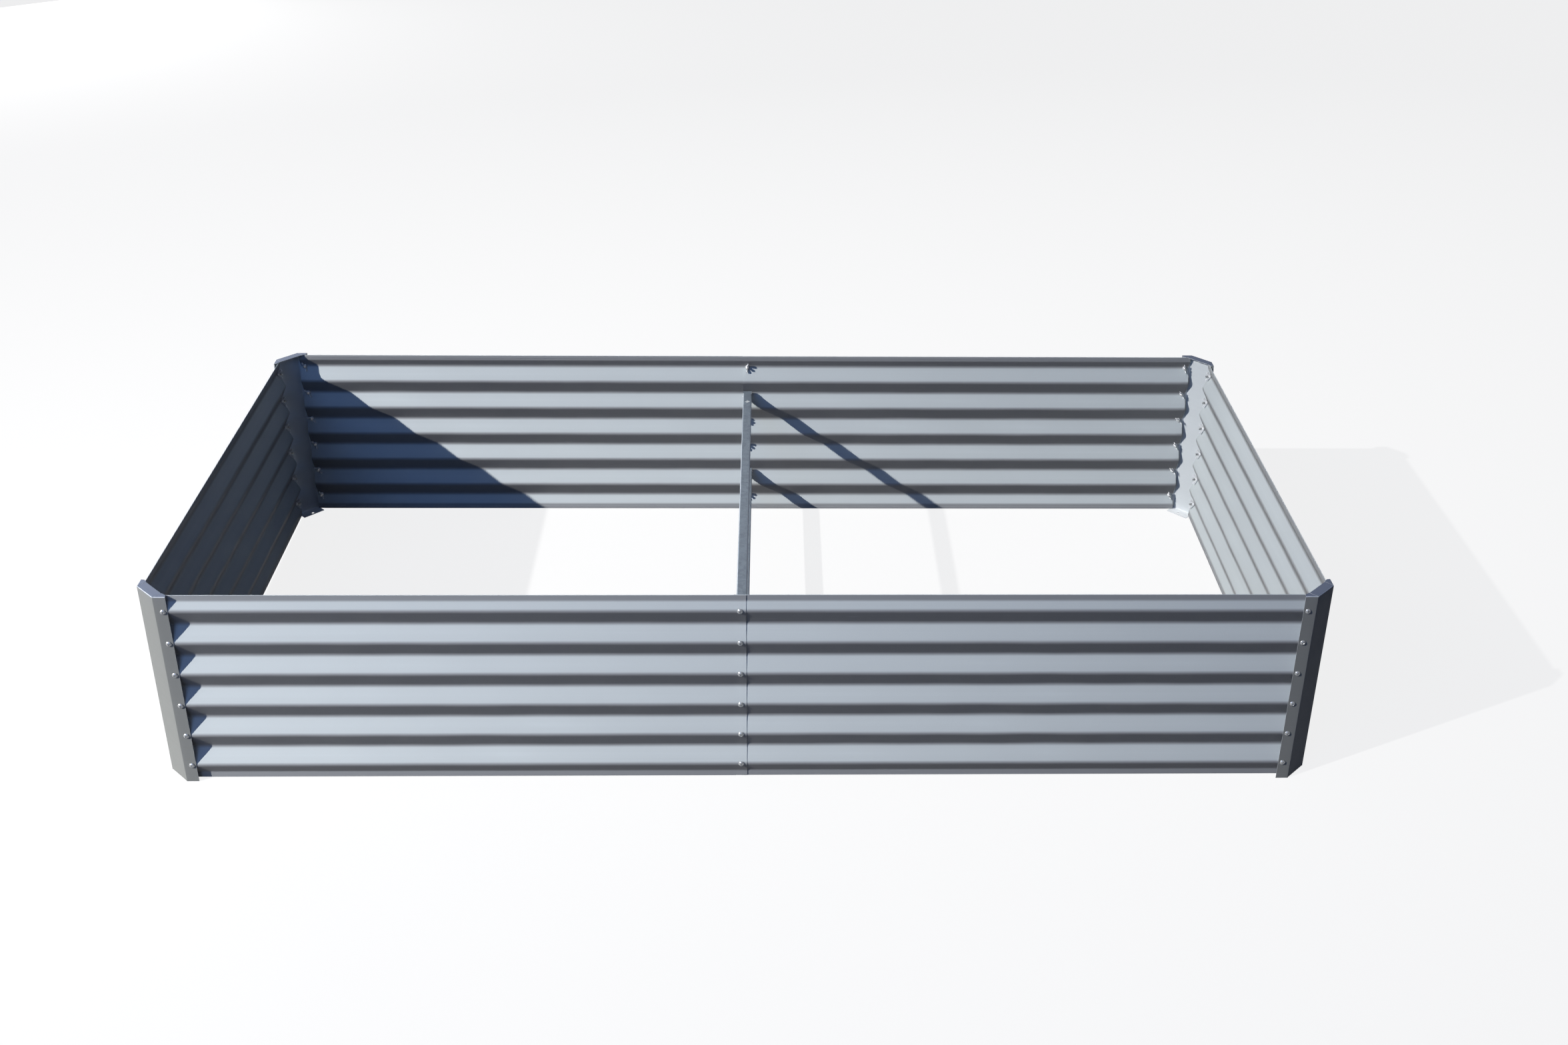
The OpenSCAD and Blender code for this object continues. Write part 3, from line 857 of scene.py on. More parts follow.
class CornerPost:
    """Middle surface of a corner post, with the bed's corner at the origin."""

    def __init__(self, scene, size, bolt_places):
        self.sizes = scene.garden_bed_posts
        self.hole_width = scene.garden_bed_sheets.hole_width
        self.heights = bolt_heights(scene.garden_bed_sheets, scene.garden_bed_bolts)
        self.size = size
        self.bolt_places = bolt_places
        sheet, turn = self.sizes.thickness, self.sizes.turn_radius
        self.half = sheet / 2
        self.fold = self.sizes.chamfer_leg + sheet * (math.sqrt(2) - 1) / 2
        self.line = FoldLine([
            (self.half, size.y, 0),
            (self.half, self.fold, self.sizes.fold_radius),
            (self.fold, self.half, self.sizes.fold_radius),
            (size.x, self.half, 0),
        ])
        _, self.side_end, self.chamfer_start, self.chamfer_end, self.long_start, self.long_end = (
            self.line.starts)
        self.cap_level = size.z - self.half
        self.cap_start = self.cap_level - turn
        self.foot_start = self.half + turn
        self.fold_reach = self.sizes.fold_radius * math.tan(HALF_FOLD)

    def lay(self, bm, placed):
        """Lays the post's body, caps and foot, each point put in its place."""
        self.lay_body(bm, placed)
        sizes = self.sizes
        self.lay_chamfer_flap(bm, placed, self.cap_start, self.cap_level, sizes.cap_depth)
        self.lay_chamfer_flap(bm, placed, self.foot_start, self.half, sizes.foot_depth, pegged=True)
        side_us = self.us_between(0, self.side_end)
        long_us = self.us_between(self.long_start, self.long_end)
        self.lay_flange_cap(bm, lambda x, y, z: placed(y, x, z), side_us, from_fold=False)
        self.lay_flange_cap(bm, placed, long_us, from_fold=True)

    def us_between(self, start, end):
        """Stations across the post from a start to an end."""
        return [u for u in self.us if start - SAME_STATION < u < end + SAME_STATION]

    def lay_body(self, bm, placed):
        """The two flanges and the chamfer between them, pierced for the bolts."""
        side_bolts, long_bolts = self.bolt_places
        holes_at = (self.size.y - side_bolts, self.long_end - (self.size.x - long_bolts))
        us = self.line.stations(POST_ACROSS_STEP, POST_BEND_STEP)
        for place in holes_at:
            us += across_hole(place, HOLE_PATCH)
        us += across_hole(self.long_end / 2, self.sizes.peg_hole_width)
        self.us = filled_in(us, POST_ACROSS_STEP)
        stub_top = self.size.z - self.sizes.thickness
        vs = [0, self.foot_start, self.cap_start, stub_top]
        for height in self.heights:
            vs += across_hole(height, HOLE_PATCH)
        holes = [
            Hole(Vector((place, height)), Vector((HOLE_PATCH, HOLE_PATCH)), round_edge(self.hole_width))
            for place in holes_at for height in self.heights
        ]

        def open_end(place):
            on_chamfer = self.chamfer_start < place.x < self.chamfer_end
            on_fold = not on_chamfer and self.side_end < place.x < self.long_start
            return place.y > self.cap_start and not on_fold or place.y < self.foot_start and on_chamfer

        def surface(distance, height):
            point, _ = self.line.at(distance)
            return placed(point.x, point.y, height)

        lay_grid(bm, self.us, filled_in(vs, POST_STEP), surface, holes, open_end)

    def lay_chamfer_flap(self, bm, placed, start, level, depth, pegged=False):
        """A strip turned in from the chamfer, square to it: the cap, or the foot with its peg hole."""
        turn = self.sizes.turn_radius
        line = FoldLine([(0, start, 0), (0, level, turn), (depth, level, 0)])
        _, _, level_start, _ = line.starts
        centre = self.long_end / 2
        slit_side = self.fold_reach * 2
        inward = Vector((1, 1)).normalized()
        middle_of_chamfer = Vector((self.fold, self.fold)) / 2 + Vector((self.half, self.half)) / 2
        vs = line.stations(POST_ACROSS_STEP, POST_BEND_STEP)
        holes = []
        if pegged:
            half = self.sizes.peg_hole_width
            peg_place = level_start + self.sizes.peg_hole_inset - turn
            holes.append(Hole(Vector((centre, peg_place)), Vector((half, half)),
                              round_edge(self.sizes.peg_hole_width)))
            vs = filled_in(vs + across_hole(peg_place, half), POST_ACROSS_STEP)

        def surface(distance, run):
            point, _ = line.at(run)
            base, _ = self.line.at(distance)
            widening = 1 + slit_side / (self.chamfer_end - self.chamfer_start) * min(1, point.x / turn)
            base = middle_of_chamfer + (base - middle_of_chamfer) * widening
            plan = base + inward * point.x
            return placed(plan.x, plan.y, point.y)

        us = self.us_between(self.chamfer_start, self.chamfer_end)
        lay_grid(bm, us, vs, surface, holes)

    def lay_flange_cap(self, bm, placed, us, from_fold):
        """The small cap turned in from a flange: it tapers towards the flange's free end."""
        sizes = self.sizes
        slit_run = sizes.cap_slit * math.sqrt(2)
        cap_run = sizes.cap_depth / math.sqrt(2)
        fold_foot = Vector((self.fold + self.fold_reach, self.half))
        fold_tip = Vector((self.fold + slit_run + cap_run, self.half + cap_run))
        free_foot = Vector((self.size.x, self.half))
        free_tip = Vector((self.size.x - sizes.thickness, sizes.cap_end_depth))
        rows = []
        for u in us:
            share = (u - us[0]) / (us[-1] - us[0])
            share = 1 - share if from_fold else share
            foot, tip = free_foot.lerp(fold_foot, share), free_tip.lerp(fold_tip, share)
            depth = tip.y - foot.y
            line = FoldLine([
                (0, self.cap_start, 0),
                (0, self.cap_level, sizes.turn_radius),
                (depth, self.cap_level, 0),
            ])
            row = []
            for run in line.stations(POST_STEP, POST_BEND_STEP):
                point, _ = line.at(run)
                plan = foot.lerp(tip, point.x / depth)
                row.append(bm.verts.new(placed(plan.x, plan.y, point.y)))
            rows.append(row)
        for near, far in zip(rows, rows[1:]):
            for i in range(len(near) - 1):
                bm.faces.new([near[i], far[i], far[i + 1], near[i + 1]])


# Braces

BRACE_STEP = 0.03
BRACE_BEND_STEP = math.radians(10)


class GARDENBED_OT_braces(Operator):
    """Two galvanised channel braces with bolted end tabs"""

    bl_idname = "gardenbed.braces"
    bl_label = "Braces"

    def execute(self, context):
        scene = context.scene
        for name in BRACES:
            node = f"{name}_brace"
            low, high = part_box(node)
            top = middle(node)
            top.z = high.z
            bm = bmesh.new()
            lay_brace(bm, scene, high - low, top)
            add_folded(f"{name}_channel_brace", bm, scene.garden_bed_braces.thickness, node,
                       Vector((-1, 0, 0)),
                       ("spangled_zinc", "spangled_zinc", "sheared_edge"))
        return {"FINISHED"}


def lay_brace(bm, scene, size, top):
    """Middle surface of a brace: a channel open downward whose web runs on to a tab at each end."""
    sizes = scene.garden_bed_braces
    half_sheet, radius = sizes.thickness / 2, sizes.fold_radius
    rail = size.x / 2 - half_sheet
    tab = size.y / 2 - half_sheet
    channel_end = size.y / 2 - sizes.setback
    section = FoldLine([
        (-rail, -sizes.depth, 0), (-rail, -half_sheet, radius),
        (rail, -half_sheet, radius), (rail, -sizes.depth, 0)])
    _, _, web_start, web_end, _, _ = section.starts
    web_middle = (web_start + web_end) / 2
    web_half = (web_end - web_start) / 2
    web = [web_middle + x for x in across_hole(0, web_half) + across_hole(0, HOLE_PATCH)]
    us = filled_in(section.stations(sizes.depth, BRACE_BEND_STEP) + web, sizes.depth)
    diamonds = [side * (size.y / 2 - sizes.hole_inset) for side in (-1, 1)]
    vs = [-channel_end, channel_end]
    for place in diamonds:
        vs += across_hole(place, web_half)
    holes = [
        Hole(Vector((web_middle, place)), Vector((web_half, web_half)), diamond_edge(sizes.hole_width))
        for place in diamonds
    ]

    def channel(distance, y):
        point, _ = section.at(distance)
        return top + Vector((point.x, y, point.y))

    lay_grid(bm, us, filled_in(vs, BRACE_STEP), channel, holes)
    web_us = [u - web_middle for u in us if web_start - SAME_STATION < u < web_end + SAME_STATION]
    end_us = [-size.x / 2] + web_us + [size.x / 2]
    end_line = FoldLine([
        (channel_end, -half_sheet, 0), (tab, -half_sheet, radius), (tab, -size.z, 0)])
    _, _, tab_start, _ = end_line.starts
    bolt_place = tab_start + sizes.rise - half_sheet - radius
    bolt_hole = Hole(Vector((0, bolt_place)), Vector((HOLE_PATCH, HOLE_PATCH)),
                     round_edge(scene.garden_bed_sheets.hole_width))
    end_vs = end_line.stations(BRACE_STEP, BRACE_BEND_STEP) + across_hole(bolt_place, HOLE_PATCH)
    for side in (-1, 1):
        def end_plate(x, distance, side=side):
            point, _ = end_line.at(distance)
            return top + Vector((x, side * point.x, point.y))

        lay_grid(bm, end_us, filled_in(end_vs, BRACE_STEP), end_plate, [bolt_hole])


# Bolts and wing nuts

HEAD_SEGMENTS = 32
DOME_RINGS = 7
THREAD_SEGMENTS = 16
ROWS_A_TURN = 4
THREAD_SHAPE = (0.0, 0.55, 1.0, 0.55)
RECESS_FOOT_SHARE = 0.35
OVERRUN = 0.001
TIP_CHAMFER = 0.0008


def turned_solid(bm, outline, segments):
    """A closed solid turned about Z from an outline of radius and height, both ends on the axis."""
    rings = []
    for radius, height in outline[1:-1]:
        rings.append([
            bm.verts.new((radius * math.cos(angle), radius * math.sin(angle), height))
            for angle in (2 * math.pi * i / segments for i in range(segments))
        ])
    first, last = (bm.verts.new((0, 0, height)) for _, height in (outline[0], outline[-1]))
    for i in range(segments):
        j = (i + 1) % segments
        bm.faces.new([first, rings[0][j], rings[0][i]])
        for lower, upper in zip(rings, rings[1:]):
            bm.faces.new([lower[i], lower[j], upper[j], upper[i]])
        bm.faces.new([last, rings[-1][i], rings[-1][j]])


def prism(bm, outline, low, high, foot_share=1.0):
    """A closed prism from an outline of x and y, drawn in at its high end by a share."""
    lower = [bm.verts.new((x, y, low)) for x, y in outline]
    upper = [bm.verts.new((x * foot_share, y * foot_share, high)) for x, y in outline]
    bm.faces.new(lower[::-1])
    bm.faces.new(upper)
    for i in range(len(outline)):
        j = (i + 1) % len(outline)
        bm.faces.new([lower[i], lower[j], upper[j], upper[i]])


def combined(mesh, other, operation):
    """The union or difference of two closed meshes."""
    tool = bpy.data.objects.new(other.name, other)
    bpy.context.scene.collection.objects.link(tool)
    result = applied(mesh, ("BOOLEAN", {"operation": operation, "solver": "EXACT", "object": tool}))
    bpy.data.objects.remove(tool)
    bpy.data.meshes.remove(other)
    return result


def bolt_head_mesh(sizes):
    """Domed head above Z = 0, seen from its seat: it reaches down to minus its height."""
    radius, dome = sizes.head_width / 2, sizes.head_height - sizes.rim_height
    ball = (radius ** 2 + dome ** 2) / (2 * dome)
    spread = math.asin(radius / ball)
    bevel = sizes.rim_height / 4
    outline = [(0, 0), (radius - bevel, 0), (radius, -bevel)]
    for ring in range(DOME_RINGS + 1):
        angle = spread * (1 - ring / DOME_RINGS)
        outline.append((ball * math.sin(angle), ball - sizes.head_height - ball * math.cos(angle)))
    bm = bmesh.new()
    turned_solid(bm, outline, HEAD_SEGMENTS)
    return mesh_from(bm, "bolt_head")


def shank_mesh(sizes):
    """Threaded shank with a chamfered tip, whose start lies inside the head."""
    pitch, crest = sizes.thread_pitch, sizes.shank_width / 2
    root = crest - sizes.thread_depth
    tip = crest - TIP_CHAMFER
    start, end = -sizes.rim_height / 2, sizes.length
    rows = math.ceil((end - start) / pitch * ROWS_A_TURN) + 2 * ROWS_A_TURN

    def ring_point(row, step):
        height = start + (row / ROWS_A_TURN + step / THREAD_SEGMENTS - 1) * pitch
        radius = root + (crest - root) * THREAD_SHAPE[row % ROWS_A_TURN]
        if height <= start:
            height, radius = start, root
        height = min(height, end)
        radius = min(radius, tip + end - height)
        angle = 2 * math.pi * step / THREAD_SEGMENTS
        return radius * math.cos(angle), radius * math.sin(angle), height

    bm = bmesh.new()
    grid = [
        [bm.verts.new(ring_point(row, step)) for step in range(THREAD_SEGMENTS)]
        for row in range(rows + ROWS_A_TURN + 1)
    ]
    for row in range(rows):
        for step in range(THREAD_SEGMENTS):
            over = step + 1 == THREAD_SEGMENTS
            after, next_row = (0, row + ROWS_A_TURN) if over else (step + 1, row)
            bm.faces.new([grid[row][step], grid[next_row][after],
                          grid[next_row + 1][after], grid[row + 1][step]])
    bmesh.ops.remove_doubles(bm, verts=bm.verts, dist=MERGE_DISTANCE)
    loose = [v for v in bm.verts if not v.link_faces]
    bmesh.ops.delete(bm, geom=loose, context="VERTS")
    bmesh.ops.holes_fill(bm, edges=[e for e in bm.edges if e.is_boundary])
    return mesh_from(bm, "bolt_shank")


def bolt_mesh(sizes):
    """A whole bolt along Z, with the underside of its head at Z = 0."""
    reach, half = sizes.recess_reach, sizes.recess_width / 2
    cross = []
    for quarter in range(4):
        c, s = round(math.cos(quarter * math.pi / 2)), round(math.sin(quarter * math.pi / 2))
        for x, y in ((reach, -half), (reach, half), (half, half)):
            cross.append((x * c - y * s, x * s + y * c))
    bm = bmesh.new()
    top = -sizes.head_height
    scale = 1 + OVERRUN / sizes.recess_depth * (1 - RECESS_FOOT_SHARE)
    prism(bm, [(x * scale, y * scale) for x, y in cross], top - OVERRUN, top + sizes.recess_depth,
          foot_share=RECESS_FOOT_SHARE)
    whole = combined(bolt_head_mesh(sizes), shank_mesh(sizes), "UNION")
    return combined(whole, mesh_from(bm, "recess"), "DIFFERENCE")


WING_TIP_STEPS = 10
WING_ROOT_HEIGHT = 0.0012
WING_EDGE = {
    "width": 0.0006, "segments": 3, "limit_method": "ANGLE", "angle_limit": math.radians(50)}
CAST_SMOOTHING = {"factor": 0.5, "iterations": 3}


def wing_outline(sizes, bore):
    """Outline of one wing, from its root in the barrel round its tip."""
    radius = sizes.wing_tip_radius
    tip = Vector((sizes.wing_reach - radius, sizes.wing_height - radius))
    low = Vector((sizes.base_width / 2 - WING_ROOT_HEIGHT / 2, WING_ROOT_HEIGHT))
    high = Vector((sizes.barrel_width / 2 - sizes.wing_thickness / 2, sizes.barrel_height))

    def touch_angle(point, side):
        away = tip - point
        swing = math.acos(radius / away.length)
        return math.atan2(-away.y, -away.x) + side * swing

    first, last = touch_angle(low, 1), touch_angle(high, -1)
    last += 2 * math.pi * (last < first)
    angles = [first + (last - first) * i / WING_TIP_STEPS for i in range(WING_TIP_STEPS + 1)]
    arc = [(tip.x + radius * math.cos(angle), tip.y + radius * math.sin(angle)) for angle in angles]
    inner = bore + OVERRUN / 2
    return [(inner, WING_ROOT_HEIGHT), tuple(low)] + arc + [tuple(high), (inner, sizes.barrel_height)]


def wing_nut_mesh(sizes, bolts):
    """A cast wing nut along Z, with its base at Z = 0: barrel and wings blended into one form."""
    bore = bolts.shank_width / 2
    base, barrel, height = sizes.base_width / 2, sizes.barrel_width / 2, sizes.barrel_height
    chamfer = sizes.wing_thickness / 4
    outline = [(0, 0), (base - chamfer, 0), (base, chamfer),
               (barrel, height - chamfer), (barrel - chamfer, height), (0, height)]
    bm = bmesh.new()
    turned_solid(bm, outline, HEAD_SEGMENTS)
    nut = mesh_from(bm, "wing_nut")
    for side in (1, -1):
        bm = bmesh.new()
        prism(bm, wing_outline(sizes, bore), -sizes.wing_thickness / 2, sizes.wing_thickness / 2)
        bmesh.ops.rotate(bm, verts=bm.verts, matrix=Matrix.Rotation(math.pi / 2, 3, "X"))
        if side < 0:
            bmesh.ops.rotate(bm, verts=bm.verts, matrix=Matrix.Rotation(math.pi, 3, "Z"))
        wing = applied(mesh_from(bm, "wing"), ("BEVEL", WING_EDGE))
        nut = combined(nut, wing, "UNION")
    bm = bmesh.new()
    low, high = -OVERRUN, sizes.wing_height
    turned_solid(bm, [(0, low), (bore, low), (bore, high), (0, high)], HEAD_SEGMENTS)
    nut = combined(nut, mesh_from(bm, "bore"), "DIFFERENCE")
    nut = applied(nut, ("REMESH", {"mode": "VOXEL", "voxel_size": sizes.casting_grain}),
                  ("SMOOTH", CAST_SMOOTHING))
    return applied(nut, ("DECIMATE", {"ratio": sizes.faces / (2 * len(nut.polygons))}))


def standing_on(seat, inward, turn):
    """Matrix that lays a fastener's Z along the way inward, with its foot on a seat."""
    across = inward.cross(UP)
    axes = Matrix((across, UP, inward)).transposed()
    if axes.determinant() < 0:
        axes = Matrix((-across, UP, inward)).transposed()
    return Matrix.Translation(seat) @ axes.to_4x4() @ Matrix.Rotation(turn, 4, "Z")


def add_column(name, master, places, node, finish):
    """Adds copies of a master mesh at several places as one piece."""
    bm = bmesh.new()
    for place in places:
        before = len(bm.verts)
        bm.from_mesh(master)
        bm.verts.ensure_lookup_table()
        bmesh.ops.transform(bm, matrix=place, verts=bm.verts[before:])
    mesh = bpy.data.meshes.new(name)
    bm.to_mesh(mesh)
    bm.free()
    mesh.materials.append(find_material(finish))
    add_piece(name, mesh, node)


class GARDENBED_OT_bolts(Operator):
    """Ten columns of domed bolts with a cross recess and a thread"""

    bl_idname = "gardenbed.bolts"
    bl_label = "Bolts"

    def execute(self, context):
        sizes = context.scene.garden_bed_bolts
        master = bolt_mesh(sizes)
        heights = bolt_heights(context.scene.garden_bed_sheets, sizes)
        for name, (wall_name, first_turn, _) in COLUMNS.items():
            node = f"{name}_bolts"
            inward = WALLS[wall_name].inward
            seat = outer_corner(node, inward) + inward * sizes.head_height
            places = [
                standing_on(across_of(middle(node), seat, inward, height), inward,
                            math.radians(first_turn) + row * sizes.turn_step)
                for row, height in enumerate(heights)
            ]
            add_column(name + "_bolt_column", master, places, node, "bolt_plating")
        bpy.data.meshes.remove(master)
        return {"FINISHED"}


def across_of(centre, seat, inward, height):
    """Point at a seat's depth inward, on a column's middle line, at a height."""
    point = centre - inward * (centre - seat).dot(inward)
    return Vector((point.x, point.y, height))


class GARDENBED_OT_wing_nuts(Operator):
    """Ten columns of cast wing nuts inside the walls"""

    bl_idname = "gardenbed.wing_nuts"
    bl_label = "Wing Nuts"

    def execute(self, context):
        scene = context.scene
        sizes = scene.garden_bed_wing_nuts
        master = wing_nut_mesh(sizes, scene.garden_bed_bolts)
        heights = bolt_heights(scene.garden_bed_sheets, scene.garden_bed_bolts)
        for name, (wall_name, _, column_turn) in COLUMNS.items():
            node = f"{name}_wing_nuts"
            inward = WALLS[wall_name].inward
            seat = outer_corner(node, inward)
            low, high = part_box(node)
            reach = abs((high - low).dot(inward)) - sizes.wing_height
            places = []
            for row, height in enumerate(heights):
                braced = name.endswith("seam") and under_brace(height)
                wobble = row * NUT_TURN_STEP % NUT_TURN_RANGE - NUT_TURN_RANGE / 2
                turn = BRACE_NUT_TURN if braced else column_turn + wobble
                foot = across_of(middle(node), seat, inward, height) + inward * reach * braced
                places.append(standing_on(foot, inward, math.radians(turn)))
            add_column(name + "_wing_nut_column", master, places, node, "nut_casting")
        bpy.data.meshes.remove(master)
        return {"FINISHED"}


def under_brace(height):
    """Whether a brace's tab covers this height."""
    return any(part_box(f"{name}_brace")[0].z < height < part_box(f"{name}_brace")[1].z for name in BRACES)


# Materials

# Sockets of a Mix node that blends colours
MIX_SHARE, MIX_FIRST, MIX_SECOND, MIX_RESULT = 0, 6, 7, 2


class Field:
    """A shader value that adds its Math nodes when it is used in an expression."""

    def __init__(self, recipe, socket):
        self.recipe, self.socket = recipe, socket

    def _math(self, operation, first, second):
        return self.recipe.node("ShaderNodeMath", {"operation": operation}, {0: first, 1: second})

    def __add__(self, other):
        return self._math("ADD", self, other)

    def __sub__(self, other):
        return self._math("SUBTRACT", self, other)

    def __rsub__(self, other):
        return self._math("SUBTRACT", other, self)

    def __mul__(self, other):
        return self._math("MULTIPLY", self, other)

    def at_least(self, other):
        return self._math("MAXIMUM", self, other)

    __radd__ = __add__
    __rmul__ = __mul__


class Recipe:
    """Node tree of a material, or of the world."""

    def __init__(self, owner):
        owner.use_nodes = True
        self.owner = owner
        self.tree = owner.node_tree
        self.tree.nodes.clear()

    def node(self, kind, settings=None, inputs=None, output=0):
        """Adds a node: its settings or colour stops first, then the values and links of its sockets."""
        made = self.tree.nodes.new(kind)
        for key, value in (settings or {}).items():
            if key == "stops":
                self.set_stops(made.color_ramp.elements, value)
            else:
                setattr(made, key, value)
        for key, value in (inputs or {}).items():
            if isinstance(value, Field):
                self.tree.links.new(value.socket, made.inputs[key])
            else:
                made.inputs[key].default_value = value
        return Field(self, made.outputs[output]) if made.outputs else None

    @staticmethod
    def set_stops(elements, stops):
        """Gives a ramp its stops, of which two are there from the start."""
        for index, (place, grey) in enumerate(stops):
            element = elements[index] if index < 2 else elements.new(place)
            element.position = place
            element.color = (grey, grey, grey, 1)

    def places(self, *scale, turn=(0, 0, 0)):
        """Object coordinates, stretched and turned."""
        coordinates = self.node("ShaderNodeTexCoord", output="Object")
        return self.node("ShaderNodeMapping", None, {
            "Vector": coordinates, "Scale": scale, "Rotation": [math.radians(angle) for angle in turn]})

    def noise(self, places, scale, detail, roughness):
        """Noise from 0 to 1."""
        return self.node("ShaderNodeTexNoise", None, {
            "Vector": places, "Scale": scale, "Detail": detail, "Roughness": roughness})

    def ramp(self, value, *stops):
        """A value passed through stops, each a place and a grey."""
        return self.node("ShaderNodeValToRGB", {"stops": stops}, {"Fac": value})

    def rise(self, value, start, end):
        """Zero up to a start, one from an end on, and a slope between them."""
        return self.ramp(value, (start, 0), (end, 1))

    def fall(self, value, start, end):
        """One up to a start, zero from an end on, and a slope between them."""
        return self.ramp(value, (start, 1), (end, 0))

    def blend(self, share, first, second, way="MIX"):
        """Two colours blended by a share."""
        return self.node("ShaderNodeMix", {"data_type": "RGBA", "blend_type": way}, {
            MIX_SHARE: share, MIX_FIRST: first, MIX_SECOND: second}, MIX_RESULT)

    def mark(self, base, mask, amount, colour):
        """A base colour that an amount of another one covers where the mask is one."""
        return self.blend(mask * amount, base, solid(colour))

    def upward(self):
        """How far the surface faces up, from -1 to 1."""
        normal = self.node("ShaderNodeNewGeometry", output="Normal")
        return self.node("ShaderNodeSeparateXYZ", None, {"Vector": normal}, output="Z")

    def bump(self, height, strength, distance):
        """A normal raised by a height."""
        return self.node("ShaderNodeBump", None, {
            "Height": height, "Strength": strength, "Distance": distance})

    def finish(self, colour, roughness, normal, **constants):
        """Ends the recipe in one shader, with constants on its other sockets."""
        shader = self.node("ShaderNodeBsdfPrincipled", None, {
            "Base Color": colour, "Roughness": roughness, "Normal": normal, **constants})
        self.node("ShaderNodeOutputMaterial", None, {"Surface": shader})
        return self.owner


def new_recipe(name):
    """Recipe of a new material."""
    return Recipe(bpy.data.materials.new(name))


def solid(colour, factor=1.0):
    """A colour with its alpha, made lighter or darker by a factor."""
    return (*[channel * factor for channel in colour], 1)


# Colours of the marks that the finishes gather in making and in use, and of painted fold highlights
SCUFF = (0.60, 0.62, 0.64)
DUST = (0.50, 0.48, 0.44)
SPECK = (0.62, 0.62, 0.60)
# Painted highlights: lighter colours on the folds stand in for light catching the bends
PAINT_FOLD_HIGHLIGHT = (0.62, 0.66, 0.70)
ZINC_FOLD_HIGHLIGHT = (0.62, 0.68, 0.74)
SPANGLE_RIM = (0.50, 0.54, 0.56)
WHITE_RUST = (0.52, 0.54, 0.54)
HANDLING_MARK = (0.34, 0.34, 0.35)
MOTTLE_DARK = (0.90, 0.90, 0.90)
MOTTLE_PALE = (1.10, 1.10, 1.10)
SPANGLE_SCALE = 105
SPANGLE_WANDER = 0.012


def turned_edge(recipe):
    """One on the bend between an upright face and a level one above it, zero on both faces: where a
    highlight is painted.
    """
    upward = recipe.upward()
    return recipe.rise(upward, 0.25, 0.50) * recipe.fall(upward, 0.90, 0.99)


def satin_paint(name, level, raised, lowered, index, fold_highlight=0):
    """Satin paint whose shade follows the slope as painted light and shade, lighter facing up and darker
    facing down, with mottling, streaks, scuffs, dust and specks, and an optional painted highlight on
    folds.
    """
    recipe = new_recipe(name)
    everywhere = recipe.places(1, 1, 1)
    mottle = recipe.noise(everywhere, scale=2.6, detail=5, roughness=0.6)
    streaks = recipe.noise(recipe.places(1.2, 1.2, 260), scale=1, detail=3, roughness=0.5)
    peel = recipe.noise(everywhere, scale=620, detail=2, roughness=0.5)
    smudges = recipe.rise(recipe.noise(everywhere, scale=17, detail=6, roughness=0.62), 0.42, 0.68)
    scratched = recipe.noise(
        recipe.places(9, 9, 420, turn=(14, 9, 0)), scale=1, detail=2, roughness=0.5)
    patches = recipe.rise(recipe.noise(everywhere, scale=4.3, detail=2, roughness=0.5), 0.52, 0.66)
    scuffs = recipe.rise(scratched, 0.70, 0.76) * patches
    upward = recipe.upward()
    grime = recipe.noise(everywhere, scale=38, detail=7, roughness=0.7)
    dust = upward.at_least(0) * recipe.ramp(grime, (0.35, 0.2), (0.75, 1))
    specks = recipe.rise(recipe.noise(everywhere, scale=520, detail=2, roughness=0.6), 0.71, 0.76)

    # Painted light and shade: lighter paint where the surface faces up and darker where it faces down,
    # standing in for how the key light falls
    slope = recipe.ramp(upward, (0.0, 0), (0.463, 0.82), (0.50, 1))
    base = recipe.blend(slope, solid(level), solid(raised))
    base = recipe.blend(recipe.rise(-1 * upward, 0.0, 0.46), base, solid(lowered))
    tone = 0.26 + 0.30 * mottle + 0.24 * streaks + 0.20 * peel
    shade = recipe.blend(tone, solid(MOTTLE_DARK), solid(MOTTLE_PALE))
    base = recipe.blend(1, base, shade, "MULTIPLY")
    base = recipe.mark(base, scuffs, amount=0.25, colour=SCUFF)
    base = recipe.mark(base, dust, amount=0.08, colour=DUST)
    base = recipe.mark(base, specks, amount=0.15, colour=SPECK)
    # Painted highlight along the folds from upright faces to level ones above
    if fold_highlight:
        base = recipe.mark(base, turned_edge(recipe), amount=fold_highlight, colour=PAINT_FOLD_HIGHLIGHT)
    roughness = 0.33 + 0.05 * mottle + 0.07 * smudges + 0.12 * dust + 0.10 * scuffs
    height = 0.75 * peel + 0.2 * streaks - 0.35 * scuffs
    normal = recipe.bump(height, strength=0.16, distance=0.0004)
    return recipe.finish(base, roughness, normal, IOR=index)


def wall_coating(name):
    """Paint of the wall sheets, with painted light on upward flanks and painted shade on downward ones."""
    finishes = bpy.context.scene.garden_bed_finishes
    return satin_paint(
        name, finishes.wall_paint, finishes.wall_up_painted_light, finishes.wall_down_painted_shade, index=1.2)


def post_coating(name):
    """Paint of the corner posts' outer face, with a painted bluish reflection on the caps' tops and a
    painted highlight along their folds.
    """
    finishes = bpy.context.scene.garden_bed_finishes
    return satin_paint(
        name, finishes.post_paint, finishes.post_cap_painted_reflection, finishes.post_paint, index=1.12, fold_highlight=0.9)


def post_backing(name):
    """Lighter backing coat of the corner posts' inner face, with painted light on upward faces such as the
    foot.
    """
    finishes = bpy.context.scene.garden_bed_finishes
    return satin_paint(
        name, finishes.post_backing, finishes.post_up_painted_light, finishes.post_backing, index=1.15)


